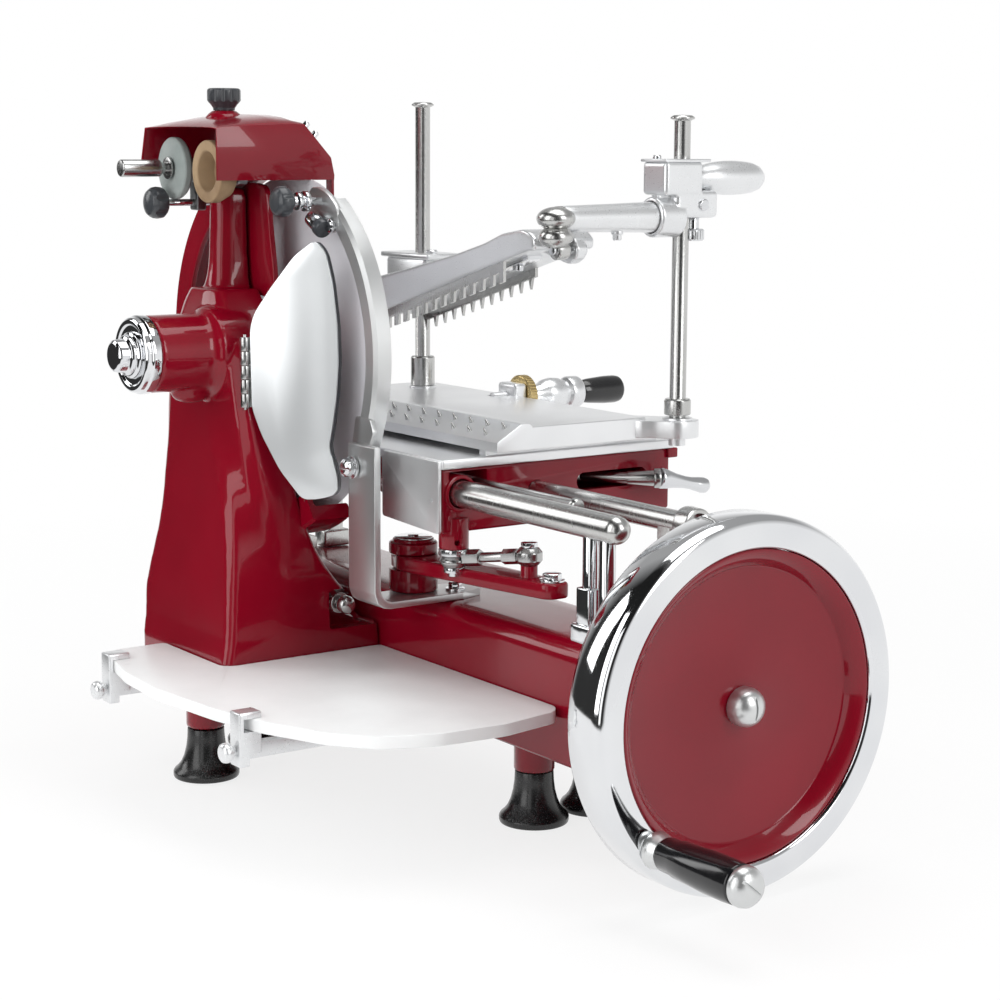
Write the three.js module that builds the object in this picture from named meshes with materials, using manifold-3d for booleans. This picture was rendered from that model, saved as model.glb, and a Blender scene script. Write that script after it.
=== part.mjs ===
import * as THREE from 'three';
import Module from 'manifold-3d';
import { mergeVertices } from 'three/addons/utils/BufferGeometryUtils.js';

const wasm = await Module();
wasm.setup();

// Driving dimensions, in millimetres. X is the flywheel axis, Y the blade axis, Z is up.
// The blade centre is at X 0, Y 0.
const gap = 0.3;              // clearance between neighbouring pieces
const bladeRadius = 150;
const bladeZ = 366;           // height of the blade axis
const bladeThickness = 3;
const footBottom = -10;
const footHeight = 45;
const footRadius = 29;
const footNeckRadius = 15;
const castingBottom = 57;
const bedTop = 158;
const bedX = [-136, 418];
const bedY = [45.2, 150];
const bedWall = 8;
const pedestalY = -108;
const shaftZ = 138;           // height of the main shaft
const shaftY = 80;
const mainShaftRadius = 9;
const crossShaftRadius = 8;
const crossX = 0;
const bevelOuter = 11.5;        // pitch radius of the two equal bevel gears
const bevelInner = 7;
const chainY = -58;
const chainHalfWidth = 4;
const sprocketLow = 27;
const sprocketHigh = 13;
const chainThickness = 4;
const bladeShaftRadius = 9;
const barrelRadius = 33;
const barrelEnd = -145;
const neck = { x: -34, y: -48 };
const neckTop = bladeZ + bladeRadius - 11;
const wheelRadius = 143;
const rimBreadth = 27;        // radial breadth of the wheel's polished rim
const handleInset = 16;       // from the wheel's edge in to the handle's centre
const wheelWidth = 42;
const wheelStandoff = 66;     // from the bed's end to the wheel's near face
const gripRadius = 17.5;
const trayZ = [94, 104];
const rodY = 30;
const rodZ = 262;
const rodRadius = 12.5;
const railY = 108;
const railZ = 256;
const railRadius = 9;
const guideX = [-132, 424];
const plateTop = 290;
const plateThickness = 8;
const carriageX = [-70, 218];
const carriageY = [9, 246];
const castingZ = [238, plateTop - plateThickness - gap];
const tableTop = 314;
const tableThickness = 19;
const tableX = [-96, 241];
const tableY = [79, 206];
const postRadius = 7;
const postTop = 572;
const innerPost = { x: -55, y: 172 };
const outerPost = { x: 255, y: 229 };
const armZ = 485;

// Colours and finishes.
function finish(color, metalness, roughness) {
  return () => new THREE.MeshStandardMaterial({ color, metalness, roughness });
}
const red = finish(0x7d0a1c, 0.1, 0.25);
const redSheet = finish(0x6e0a18, 0.1, 0.35);
const chrome = finish(0xd8dade, 1, 0.12);
const steel = finish(0xb9bcc2, 1, 0.3);
const aluminium = finish(0xc9ccd1, 1, 0.35);
const dark = finish(0x3a3c40, 1, 0.45);
const rubber = finish(0x1b1b1c, 0, 0.75);
const black = finish(0x141415, 0, 0.4);
const white = finish(0xe9ebec, 0, 0.5);
const brass = finish(0xb59355, 1, 0.35);
const greyStone = finish(0x8f958f, 0, 0.95);
const brownStone = finish(0x9c8564, 0, 0.95);

// Geometry helpers. Each gives a closed surface that faces outward.
function volumeOf(g) {
  const p = g.attributes.position;
  const n = g.index ? g.index.count : p.count;
  const at = (i) => (g.index ? g.index.getX(i) : i);
  let v = 0;
  for (let i = 0; i < n; i += 3) {
    const [a, b, c] = [at(i), at(i + 1), at(i + 2)];
    const [ax, ay, az] = [p.getX(a), p.getY(a), p.getZ(a)];
    const [bx, by, bz] = [p.getX(b), p.getY(b), p.getZ(b)];
    const [cx, cy, cz] = [p.getX(c), p.getY(c), p.getZ(c)];
    v += ax * (by * cz - bz * cy) + ay * (bz * cx - bx * cz) + az * (bx * cy - by * cx);
  }
  return v / 6;
}

function clean(g) {
  const h = g.clone();
  h.deleteAttribute('normal');
  h.deleteAttribute('uv');
  const m = mergeVertices(h, 1e-4);
  if (volumeOf(m) < 0) {
    const k = m.index;
    for (let i = 0; i < k.count; i += 3) {
      const t = k.getX(i);
      k.setX(i, k.getX(i + 1));
      k.setX(i + 1, t);
    }
  }
  return m;
}

function solid(g) {
  const m = clean(g);
  return new wasm.Manifold(new wasm.Mesh({
    numProp: 3,
    vertProperties: new Float32Array(m.attributes.position.array),
    triVerts: new Uint32Array(m.index.array),
  }));
}

function unite(...parts) {
  return parts.map((p) => (p.isBufferGeometry ? solid(p) : p)).reduce((a, b) => a.add(b));
}

function cut(base, ...tools) {
  const start = base.isBufferGeometry ? solid(base) : base;
  return tools.reduce((a, t) => a.subtract(t.isBufferGeometry ? solid(t) : t), start);
}

// A shape outline from [u, v] pairs, with optional round corners.
function outline(points, radius = 0) {
  const s = new THREE.Shape();
  const n = points.length;
  if (!radius) {
    points.forEach(([u, v], i) => (i ? s.lineTo(u, v) : s.moveTo(u, v)));
    s.closePath();
    return s;
  }
  for (let i = 0; i < n; i += 1) {
    const p = points[(i + n - 1) % n];
    const q = points[i];
    const r = points[(i + 1) % n];
    const rad = q[2] === undefined ? radius : q[2];
    const dp = Math.hypot(p[0] - q[0], p[1] - q[1]);
    const dr = Math.hypot(r[0] - q[0], r[1] - q[1]);
    const cutBack = Math.min(rad, dp * 0.49, dr * 0.49);
    const a = [q[0] + (p[0] - q[0]) * cutBack / dp, q[1] + (p[1] - q[1]) * cutBack / dp];
    const b = [q[0] + (r[0] - q[0]) * cutBack / dr, q[1] + (r[1] - q[1]) * cutBack / dr];
    if (i === 0) s.moveTo(a[0], a[1]); else s.lineTo(a[0], a[1]);
    if (cutBack > 0.01) s.quadraticCurveTo(q[0], q[1], b[0], b[1]);
  }
  s.closePath();
  return s;
}

const turns = {
  x: (g) => g.applyMatrix4(new THREE.Matrix4().set(0, 0, 1, 0, 1, 0, 0, 0, 0, 1, 0, 0, 0, 0, 0, 1)),
  y: (g) => g.applyMatrix4(new THREE.Matrix4().set(1, 0, 0, 0, 0, 0, 1, 0, 0, 1, 0, 0, 0, 0, 0, 1)),
  z: (g) => g,
};

// Extrudes a flat outline between two levels along an axis. In-plane pairs are (x, y) for z,
// (x, z) for y and (y, z) for x.
function slab(axis, shape, from, to, bevel = 0, steps = 3, bevelSteps = 2) {
  const g = new THREE.ExtrudeGeometry(shape, {
    depth: to - from - 2 * bevel,
    bevelEnabled: bevel > 0,
    bevelThickness: bevel,
    bevelSize: bevel,
    bevelOffset: -bevel,
    bevelSegments: bevelSteps,
    curveSegments: steps,
  });
  g.translate(0, 0, from + bevel);
  return turns[axis](g);
}

function rectangle(u0, u1, v0, v1) {
  return [[u0, v0], [u1, v0], [u1, v1], [u0, v1]];
}

function block(x0, x1, y0, y1, z0, z1, bevel = 0) {
  return slab('z', outline(rectangle(x0, x1, y0, y1), bevel), z0, z1, bevel, 2, 1);
}

function cylinder(axis, at, radius, from, to, sides = 24, radiusEnd = radius) {
  const g = new THREE.CylinderGeometry(radiusEnd, radius, to - from, sides);
  g.translate(0, (to + from) / 2, 0);
  g.rotateX(Math.PI / 2);
  turns[axis](g);
  if (axis === 'x') g.translate(0, at[0], at[1]);
  if (axis === 'y') g.translate(at[0], 0, at[1]);
  if (axis === 'z') g.translate(at[0], at[1], 0);
  return g;
}

// A turned piece: profile pairs are [radius, place along the axis].
function turned(axis, at, profile, sides = 24) {
  const g = new THREE.LatheGeometry(profile.map(([r, t]) => new THREE.Vector2(r, t)), sides);
  g.rotateX(Math.PI / 2);
  if (axis === 'x') { g.rotateY(Math.PI / 2); g.translate(0, at[0], at[1]); }
  if (axis === 'y') { g.rotateX(-Math.PI / 2); g.translate(at[0], 0, at[1]); }
  if (axis === 'z') g.translate(at[0], at[1], 0);
  return g;
}

function ring(axis, at, inner, outer, from, to, sides = 24) {
  return turned(axis, at, [[inner, from], [outer, from], [outer, to], [inner, to], [inner, from]], sides);
}

// A turned sleeve with a straight bore.
function ringOfProfile(axis, at, bore, profile, sides = 24) {
  const first = [bore, profile[0][1]];
  const last = [bore, profile[profile.length - 1][1]];
  return turned(axis, at, [first, ...profile, last, first], sides);
}

function bar(a, b, radius, sides = 16) {
  const from = new THREE.Vector3(...a);
  const to = new THREE.Vector3(...b);
  const g = new THREE.CylinderGeometry(radius, radius, from.distanceTo(to), sides);
  const q = new THREE.Quaternion().setFromUnitVectors(
    new THREE.Vector3(0, 1, 0), to.clone().sub(from).normalize());
  g.applyQuaternion(q);
  g.translate((a[0] + b[0]) / 2, (a[1] + b[1]) / 2, (a[2] + b[2]) / 2);
  return g;
}

function ball(at, radius, wide = 16, high = 10, stretch = [1, 1, 1]) {
  const g = new THREE.SphereGeometry(radius, wide, high);
  g.scale(...stretch);
  g.translate(...at);
  return g;
}

// Skins a stack of rounded rectangles. Each section is [z, x0, x1, y0, y1, radius].
function loft(sections, corner = 3) {
  const rows = sections.map(([z, x0, x1, y0, y1, r]) => {
    const rad = Math.min(r, (x1 - x0) / 2 - 0.01, (y1 - y0) / 2 - 0.01);
    const centres = [[x1 - rad, y1 - rad, 0], [x0 + rad, y1 - rad, 1], [x0 + rad, y0 + rad, 2],
      [x1 - rad, y0 + rad, 3]];
    const row = [];
    centres.forEach(([cx, cy, k]) => {
      for (let i = 0; i <= corner; i += 1) {
        const a = (k + i / corner) * Math.PI / 2;
        row.push([cx + rad * Math.cos(a), cy + rad * Math.sin(a), z]);
      }
    });
    return row;
  });
  const n = rows[0].length;
  const pos = rows.flat(2);
  const idx = [];
  for (let r = 0; r < rows.length - 1; r += 1) {
    for (let i = 0; i < n; i += 1) {
      const a = r * n + i;
      const b = r * n + (i + 1) % n;
      idx.push(a, b, b + n, a, b + n, a + n);
    }
  }
  [0, rows.length - 1].forEach((r) => {
    const s = sections[r];
    pos.push((s[1] + s[2]) / 2, (s[3] + s[4]) / 2, s[0]);
    const c = pos.length / 3 - 1;
    for (let i = 0; i < n; i += 1) {
      const a = r * n + i;
      const b = r * n + (i + 1) % n;
      if (r) idx.push(c, a, b); else idx.push(c, b, a);
    }
  });
  const g = new THREE.BufferGeometry();
  g.setAttribute('position', new THREE.BufferAttribute(new Float32Array(pos), 3));
  g.setIndex(idx);
  return g;
}

// An arc-shaped outline in the (x, z) plane round the blade axis, angles in degrees.
function arcOutline(inner, outer, start, end, steps) {
  const pts = [];
  for (let i = 0; i <= steps; i += 1) {
    const a = THREE.MathUtils.degToRad(start + (end - start) * i / steps);
    pts.push([outer * Math.cos(a), bladeZ + outer * Math.sin(a)]);
  }
  for (let i = steps; i >= 0; i -= 1) {
    const a = THREE.MathUtils.degToRad(start + (end - start) * i / steps);
    pts.push([inner * Math.cos(a), bladeZ + inner * Math.sin(a)]);
  }
  return pts;
}

function teeth(count, rootRadius, tipRadius) {
  const pts = [];
  for (let i = 0; i < count; i += 1) {
    [[-0.25, rootRadius], [-0.12, tipRadius], [0.12, tipRadius], [0.25, rootRadius]].forEach(([f, r]) => {
      const a = (i + f) / count * 2 * Math.PI;
      pts.push([r * Math.cos(a), r * Math.sin(a)]);
    });
  }
  return pts;
}

const machine = new THREE.Group();
machine.name = 'meat_slicer';

function add(name, shape, material) {
  let g = shape;
  if (!shape.isBufferGeometry) {
    const k = shape.getMesh();
    g = new THREE.BufferGeometry();
    g.setAttribute('position', new THREE.BufferAttribute(new Float32Array(k.vertProperties), 3));
    g.setIndex(new THREE.BufferAttribute(new Uint32Array(k.triVerts), 1));
  } else {
    g = clean(shape);
  }
  g.computeVertexNormals();
  const mesh = new THREE.Mesh(g, material());
  mesh.name = name;
  machine.add(mesh);
  return mesh;
}

// Bed: a long box open underneath, with round top edges.
const bedOuter = loft([
  [castingBottom, bedX[0], bedX[1] - 4, bedY[0], bedY[1], 16],
  [castingBottom + 6, bedX[0], bedX[1], bedY[0], bedY[1], 20],
  [bedTop - 16, bedX[0], bedX[1], bedY[0], bedY[1], 20],
  [bedTop - 8, bedX[0] + 2, bedX[1] - 3, bedY[0] + 2, bedY[1] - 3, 20],
  [bedTop - 2, bedX[0] + 6, bedX[1] - 8, bedY[0] + 7, bedY[1] - 8, 20],
  [bedTop, bedX[0] + 12, bedX[1] - 14, bedY[0] + 13, bedY[1] - 14, 20],
]);
const bedInner = block(bedX[0] + bedWall, bedX[1] - bedWall, bedY[0] + bedWall, bedY[1] - bedWall,
  castingBottom - 5, bedTop - bedWall);
const rearFeet = [[275, 66], [275, 129]];
const footBossTop = castingBottom + 12;
const footTop = footBottom + footHeight;
const bedBosses = rearFeet.map(([x, y]) => cylinder('z', [x, y], 17, footTop + gap, footBossTop, 14));
const bedWebs = rearFeet.map(([x], i) => block(x - 19, x + 19, i ? 112 : bedY[0] + 2, i ? bedY[1] - 2 : 84,
  castingBottom, footBossTop));
const shaftBoss = cylinder('x', [shaftY, shaftZ], 17, bedX[1] - bedWall - 4, bedX[1] + 10, 16);
const bed = cut(unite(cut(bedOuter, bedInner), shaftBoss, ...bedBosses, ...bedWebs),
  cylinder('x', [shaftY, shaftZ], 13, bedX[1] - 30, bedX[1] + 20, 16),
  cylinder('y', [crossX, shaftZ], crossShaftRadius + 1, bedY[0] - 5, bedY[0] + bedWall + 5, 14));
add('bed_casting', bed, red);

// Column: pedestal, curved body and neck, with a barrel for the blade shaft.
const columnOuter = loft([
  [castingBottom, -90, 68, pedestalY, 44.8, 8],
  [castingBottom + 4, -92, 70, pedestalY - 2, 44.8, 10],
  [124, -92, 70, pedestalY - 1, 44.8, 12],
  [132, -91, 70, pedestalY, 41, 18],
  [150, -89, 69, pedestalY + 2, 26, 24],
  [164, -88, 68, pedestalY + 4, 0, 20],
  [180, -86, 67, pedestalY + 6, -20, 16],
  [192, -85, 67, pedestalY + 7, -32, 16],
  [198, -85, 66, pedestalY + 8, -37, 16],
]);
const columnBack = -36;
const columnBody = loft([
  [150, -88, 68, pedestalY + 3, columnBack, 14],
  [200, -85, 66, pedestalY + 8, columnBack, 16],
  [260, -79, 62, pedestalY + 16, columnBack, 17],
  [311, -73, 55, pedestalY + 22, columnBack, 18],
  [345, -69, 48, pedestalY + 26, columnBack, 18],
  [373, -66, 39, pedestalY + 29, columnBack, 16],
  [390, -64, 27, pedestalY + 32, columnBack, 15],
  [404, -63, 12, pedestalY + 35, columnBack, 14],
  [422, -62, 0, pedestalY + 39, columnBack, 12],
  [445, -62, -6, pedestalY + 43, columnBack, 12],
  [neckTop - 25, -60, -9, pedestalY + 47, columnBack, 12],
  [neckTop - 6, -59, -10, pedestalY + 48, columnBack, 12],
  [neckTop, -53, -16, pedestalY + 53, -41, 6],
]);
const columnBarrel = turned('y', [0, bladeZ], [[0, barrelEnd], [barrelRadius - 1, barrelEnd],
  [barrelRadius, barrelEnd + 2], [barrelRadius, -60], [0, -60]], 20);
const barrelRib = slab('x', outline([[-134, bladeZ - 30], [-70, bladeZ - 20], [-70, 230], [-96, 240],
  [-104, 290]]), -5, 5);
const pedestalCavity = loft([
  [castingBottom - 5, -80, 58, pedestalY + 10, 35, 6],
  [124, -80, 58, pedestalY + 10, 35, 6],
  [150, -78, 56, pedestalY + 13, 10, 8],
  [176, -76, 54, pedestalY + 15, -30, 8],
]);
const bodyCavity = loft([
  [170, -66, 50, pedestalY + 20, -46, 8],
  [260, -58, 46, pedestalY + 30, -46, 8],
  [320, -40, 32, pedestalY + 36, -46, 6],
  [350, -22, 22, pedestalY + 40, -46, 5],
  [390, -21, 21, pedestalY + 42, -46, 5],
]);
const frontFeet = [[5, -96], [-66, -4]];
const columnBosses = frontFeet.map(([x, y]) => cylinder('z', [x, y], 17, footTop + gap, footBossTop, 14));
const columnWebs = frontFeet.map(([x, y], i) => block(i ? -90 : x - 19, i ? -45 : x + 19,
  i ? y - 19 : pedestalY + 1, i ? y + 19 : -70, castingBottom, footBossTop));
const sharpenerPostRadius = 8;
const sharpenerSocket = 60;
const latchBoss = cylinder('x', [10, 150], 9, 66, 74, 12);
const column = cut(
  unite(cut(unite(columnOuter, columnBody), pedestalCavity, bodyCavity), columnBarrel, barrelRib, latchBoss,
    ...columnBosses, ...columnWebs),
  bodyCavity,
  cylinder('y', [0, bladeZ], 15, barrelEnd - 5, -20, 16),
  cylinder('y', [0, bladeZ], 22, barrelEnd - 5, barrelEnd + 14, 16),
  cylinder('y', [crossX, shaftZ], crossShaftRadius + 1, 0, 60, 14),
  cylinder('z', [neck.x, neck.y], sharpenerPostRadius + gap, neckTop - sharpenerSocket, neckTop + 5, 14));
add('column_casting', column, red);
// Flared rubber feet.
[...frontFeet, ...rearFeet].forEach(([x, y], i) => {
  const b = footBottom;
  add(`rubber_foot_${i + 1}`, turned('z', [x, y], [[0, b], [footRadius - 2, b], [footRadius, b + 2],
    [footRadius, b + 6], [footRadius - 5, b + 10], [footNeckRadius + 5, b + 18], [footNeckRadius + 1,
    b + 28],
    [footNeckRadius, b + 36], [footNeckRadius, footTop], [0, footTop]], 12), rubber);
});

// Slice tray: a thick half-moon plate on two rails with clamps.
const trayOutside = [[-40, -160], [-28, -173], [40, -189], [107, -193], [190, -184], [243, -172],
  [300, -148], [332, -122], [351, -78], [356, -20], [346, 34], [334, 43.5]];
const trayInside = [[72, 43.5], [72, pedestalY + 4], [66, pedestalY - 4], [-40, pedestalY - 4]];
const tray = slab('z', outline([...trayOutside, ...trayInside], 6), trayZ[0], trayZ[1], 2, 2, 2);
add('slice_tray', tray, white);
const railPlaces = [[-10, -182, pedestalY - 3], [226, -184, bedY[0] - 0.4]];
railPlaces.forEach(([x, y0, y1], i) => {
  const rim = trayZ[1] + gap;
  const railTop = trayZ[0] - 10;
  const clampBody = cut(block(x - 8, x + 8, y0 - 2, y0 + 18, railTop - 18, rim + 5, 1.5),
    block(x - 8.6, x + 8.6, y0 + 2, y0 + 30, trayZ[0] - gap, rim));
  const screw = turned('y', [x, railTop - 6], [[0, y0 - 14], [7, y0 - 14], [8, y0 - 13], [8, y0 - 7], [4,
    y0 - 6],
    [4, y0], [0, y0]], 14);
  const bridge = block(x - 5, x + 5, y1 - 30, y1, railTop - 8, trayZ[0] - gap);
  add(`tray_clamp_${i + 1}`, unite(block(x - 4, x + 4, y0 + 4, y1, railTop - 13, railTop), clampBody, screw,
    bridge), aluminium);
});

// Guides for the carriage.
const standZ = bedTop + 26;
const footPlateTop = bedTop + gap;
const postPlaces = [guideX[0] + 14, guideX[1] - 29];
function guidePost(x) {
  const arm = slab('x', outline([[rodY - 11, standZ - 14], [bedY[0] + 8, footPlateTop], [bedY[0] + 40,
    footPlateTop], [bedY[0] + 40, footPlateTop + 12], [rodY + 11, standZ], [rodY - 11, standZ]]), x - 11,
    x + 11);
  const post = turned('z', [x, rodY], [[0, standZ - 1], [9, standZ - 1], [9, rodZ - 30], [12, rodZ - 25],
    [12, rodZ - 8], [0, rodZ - 8]], 12);
  return unite(arm, post);
}
add('guide_rod', unite(cylinder('x', [rodY, rodZ], rodRadius, guideX[0], guideX[1] - 6, 16),
  ball([guideX[1], rodY, rodZ], 15, 14, 8), guidePost(postPlaces[0])), chrome);
const outerPostCut = cylinder('x', [rodY, rodZ], rodRadius + gap, postPlaces[1] - 40, postPlaces[1] + 40,
  16);
add('guide_post', cut(guidePost(postPlaces[1]), outerPostCut), chrome);
const railPost = (x) => unite(
  block(x - 10, x + 10, railY - 14, railY + 14, footPlateTop, footPlateTop + 16, 2),
  block(x - 8, x + 8, railY - 8, railY + 8, footPlateTop + 4, railZ, 2));
add('rear_rail', unite(cylinder('x', [railY, railZ], railRadius, guideX[0], guideX[1] - 12, 14),
  ball([guideX[1] - 8, railY, railZ], 15, 14, 8), ...postPlaces.map((x) => railPost(x))), chrome);

// Guard bracket: a bent flat bar from the bed up to the ring guard.
const studAt = [bladeRadius - 16,
  bladeZ - bladeRadius + 60];   // stud that holds the ring guard's lower end
const earAt = [bladeRadius * 0.4 + 2, bladeZ + bladeRadius - 16]; // knob that holds its upper end
const bracketX = [studAt[0] - 13, studAt[0] + 29];
const bracketTop = studAt[1] + 20;
const bracketProfile = outline([[-20, bracketTop], [-20, 176], [-14, 165], [-2, footPlateTop], [96,
  footPlateTop],
  [96, footPlateTop + 6], [0, footPlateTop + 6], [-9, 170], [-14, 178], [-14, bracketTop]]);
const bracket = cut(slab('x', bracketProfile, bracketX[0], bracketX[1]),
  cylinder('y', studAt, 4.4, -30, 0, 12));
add('guard_bracket', bracket, steel);

// Silver ring guard on the cutting side: a flat lip and an outer band.
const ringOuter = bladeRadius + 7;
const ringInner = bladeRadius - 9;
const ringBand = [-13.5, 3];
const ringLipBack = -9;
const ringArc = [-40, 62];
const ringLip = slab('y', outline(arcOutline(ringInner, ringOuter, ringArc[0], ringArc[1], 26)),
  ringBand[0],
  ringLipBack);
const ringRim = slab('y', outline(arcOutline(ringOuter - 4, ringOuter, ringArc[0], ringArc[1], 26)),
  ringBand[0], ringBand[1]);
const ringTab = slab('y', outline([[-21, 16], [-22, -14], [-12, -24], [4, -18], [8, 24], [-8,
  24]].map(([x, z]) => [
  studAt[0] + x, studAt[1] + z])), ringBand[0], ringLipBack);
const ringEar = slab('y', outline([[0, -11], [-12, -18], [-18, -6], [-10, 12], [10, 14], [22, 0]].map(([x,
  z]) => [
  earAt[0] + x, earAt[1] + z])), ringBand[0], ringLipBack);
const ringStud = turned('y', studAt, [[0, -32], [7, -32], [9, -29], [9, -22], [8, -20 - gap],
  [4, -20 - gap], [4, ringLipBack - 1], [0, ringLipBack - 1]], 12);
add('ring_guard', unite(cut(unite(ringLip, ringRim, ringTab, ringEar),
  cylinder('y', earAt, 3.4, -30, 0, 12)), ringStud), chrome);
add('guard_knob', unite(cylinder('y', earAt, 3, -44, ringLipBack + 3, 12),
  turned('y', earAt, [[0, -58], [10, -58], [13, -55], [13, -46], [9, -43], [5, -40], [5, -30], [0, -30]],
  12)),
black);

// Red blade guard behind and under the blade.
const guardOuter = bladeRadius + 16;
const guardInner = bladeRadius + 3;
const guardBand = [-33, 5];
const guardArc = [108, 302];
const guardRim = slab('y', outline(arcOutline(guardInner, guardOuter, guardArc[0], guardArc[1], 30)),
  guardBand[0], guardBand[1], 0);
const guardWeb = unite(
  slab('y', outline(arcOutline(60, bladeRadius - 1, 70, 262, 24)), guardBand[0], guardBand[0] + 5),
  slab('y', outline(arcOutline(bladeRadius - 4, guardInner + 3, guardArc[0], 262, 20)), guardBand[0],
    guardBand[0] + 5));
const guardBosses = [[-35, bladeZ + 80], [-40, bladeZ - 60]].map((at) => cylinder('y', at, 7,
  columnBack + gap,
  guardBand[0] + 1, 12));
const bladeGuard = cut(unite(guardRim, guardWeb, ...guardBosses), cylinder('y', [0, bladeZ], 40, -60, 0,
  16));
add('blade_guard', bladeGuard, red);

// Hub end cap with its round boss.
add('hub_cap', turned('y', [0, bladeZ], [[0, barrelEnd - 30], [14, barrelEnd - 30], [16, barrelEnd - 28],
  [16, barrelEnd - 15], [19, barrelEnd - 14], [32, barrelEnd - 14], [33.5, barrelEnd - 12],
  [33.5, barrelEnd - gap], [0, barrelEnd - gap]], 14), chrome);

// Blade shaft, bearings, sprocket, blade and clamp plate.
const sprocketGap = 0.5;
add('shaft_bearing_front', ring('y', [0, bladeZ], bladeShaftRadius + gap, 21.2, barrelEnd + 1,
  barrelEnd + 14 - gap), steel);
add('shaft_bearing_rear', ring('y', [0, bladeZ], bladeShaftRadius + gap, 14.3, -45, -37), steel);
const bladeBack = -bladeThickness / 2;
add('blade', turned('y', [0, bladeZ], [[0, -8 + gap], [40, -8 + gap], [46, bladeBack - 1.5], [114,
  bladeBack],
  [bladeRadius - 8, bladeBack], [bladeRadius, 0.8], [bladeRadius, 1.1], [bladeRadius - 14, 1.4], [0,
  1.4]], 48), chrome);
add('blade_clamp_plate', turned('y', [0, bladeZ], [[0, 1.4 + gap], [46, 1.4 + gap], [46, 3.4], [43, 4.6],
  [14, 5],
  [12, 6.6], [0, 6.6]], 16), steel);
function sprocket(count, tip, z) {
  const shape = outline(teeth(count, tip - 4, tip));
  const g = slab('y', shape, chainY - 2.5, chainY + 2.5);
  g.translate(crossX, 0, z);
  return g;
}
add('blade_shaft', unite(
  turned('y', [0, bladeZ], [[0, barrelEnd + 2], [bladeShaftRadius, barrelEnd + 2], [bladeShaftRadius, -8],
    [0, -8]], 12),
  sprocket(9, sprocketHigh + 1, bladeZ)), steel);
function loopOutline(lowR, highR) {
  const pts = [];
  const lean = Math.asin((lowR - highR) / (bladeZ - shaftZ));
  for (let i = 0; i <= 12; i += 1) {
    const a = lean + (Math.PI - 2 * lean) * i / 12;
    pts.push([highR * Math.cos(a), bladeZ + highR * Math.sin(a)]);
  }
  for (let i = 0; i <= 16; i += 1) {
    const a = Math.PI - lean + (Math.PI + 2 * lean) * i / 16;
    pts.push([lowR * Math.cos(a), shaftZ + lowR * Math.sin(a)]);
  }
  return pts;
}
const chainInner = loopOutline(sprocketLow + sprocketGap + 0.4, sprocketHigh + 1 + sprocketGap + 0.4);
const chainOuter = loopOutline(sprocketLow + sprocketGap + chainThickness, sprocketHigh + 1 + sprocketGap
  + chainThickness);
add('drive_chain', cut(slab('y', outline(chainOuter), chainY - chainHalfWidth, chainY + chainHalfWidth),
  slab('y', outline(chainInner), chainY - 9, chainY + 9)), dark);

// Cross shaft and bevel gears.
add('cross_shaft', unite(
  turned('y', [crossX, shaftZ], [[0, chainY - 12], [crossShaftRadius, chainY - 12], [crossShaftRadius,
  shaftY - bevelOuter - 5],
    [bevelOuter - gap, shaftY - bevelOuter - 4], [bevelOuter - gap, shaftY - bevelOuter],
    [bevelInner - gap, shaftY - bevelInner], [0, shaftY - bevelInner]], 12),
  cylinder('y', [crossX, shaftZ], 14, chainY - 6, chainY + 6, 14), sprocket(18, sprocketLow, shaftZ)),
  steel);
const rimBack = bedX[1] + wheelStandoff;
const rimFront = rimBack + wheelWidth;
const hubFace = rimFront - 2 + gap;
const wheelAt = [shaftY, shaftZ];
add('main_shaft', cut(turned('x', wheelAt, [[0, bevelInner], [bevelInner - gap, bevelInner],
  [bevelOuter - gap, bevelOuter],
  [bevelOuter - gap, bevelOuter + 4], [mainShaftRadius, bevelOuter + 5],
  [mainShaftRadius, hubFace + 1], [17, hubFace + 1], [18, hubFace + 3], [15, hubFace + 7], [8,
  hubFace + 10],
  [0, hubFace + 11]], 12), block(hubFace + 6, hubFace + 14, shaftY - 2, shaftY + 2, shaftZ - 20,
  shaftZ + 20)), steel);
add('shaft_bearing_main', unite(ring('x', [shaftY, shaftZ], mainShaftRadius + gap, 13 - gap, bedX[1] - 6,
  bedX[1] + 12), ring('x', [shaftY, shaftZ], mainShaftRadius + gap, 17, bedX[1] + 10 + gap,
  bedX[1] + 16)), brass);

// Flywheel: polished rim round a red dish with an inner disc and a hub.
const rimInner = wheelRadius - rimBreadth;
add('flywheel_rim', turned('x', wheelAt, [[rimInner, rimBack + 6], [rimInner + 2, rimBack + 2],
  [wheelRadius - 12, rimBack], [wheelRadius - 4, rimBack + 2], [wheelRadius, rimBack + 8],
  [wheelRadius, rimFront - 9], [wheelRadius - 3, rimFront - 3], [wheelRadius - 9, rimFront],
  [rimInner + 2, rimFront - 1], [rimInner, rimFront - 3], [rimInner, rimBack + 6]], 40), chrome);
const dish = turned('x', wheelAt, [[0, rimBack + 4], [rimInner - gap, rimBack + 7], [rimInner - gap,
  rimFront - 6],
  [rimInner - 4, rimFront - 8], [rimInner - 12, rimFront - 14], [0, rimFront - 14]], 40);
const wheelHub = turned('x', wheelAt, [[0, rimBack - 26], [20, rimBack - 26], [22, rimBack - 22],
  [24, rimBack + 6], [0, rimBack + 6]], 14);
const hubFront = turned('x', wheelAt, [[0, rimFront - 16], [24, rimFront - 16], [20, rimFront - 9], [0,
  rimFront - 9]],
  28);
add('flywheel_dish', cut(unite(dish, wheelHub, hubFront), cylinder('x', wheelAt, mainShaftRadius + gap,
  rimBack - 40, rimFront + 20, 14)), red);
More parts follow.
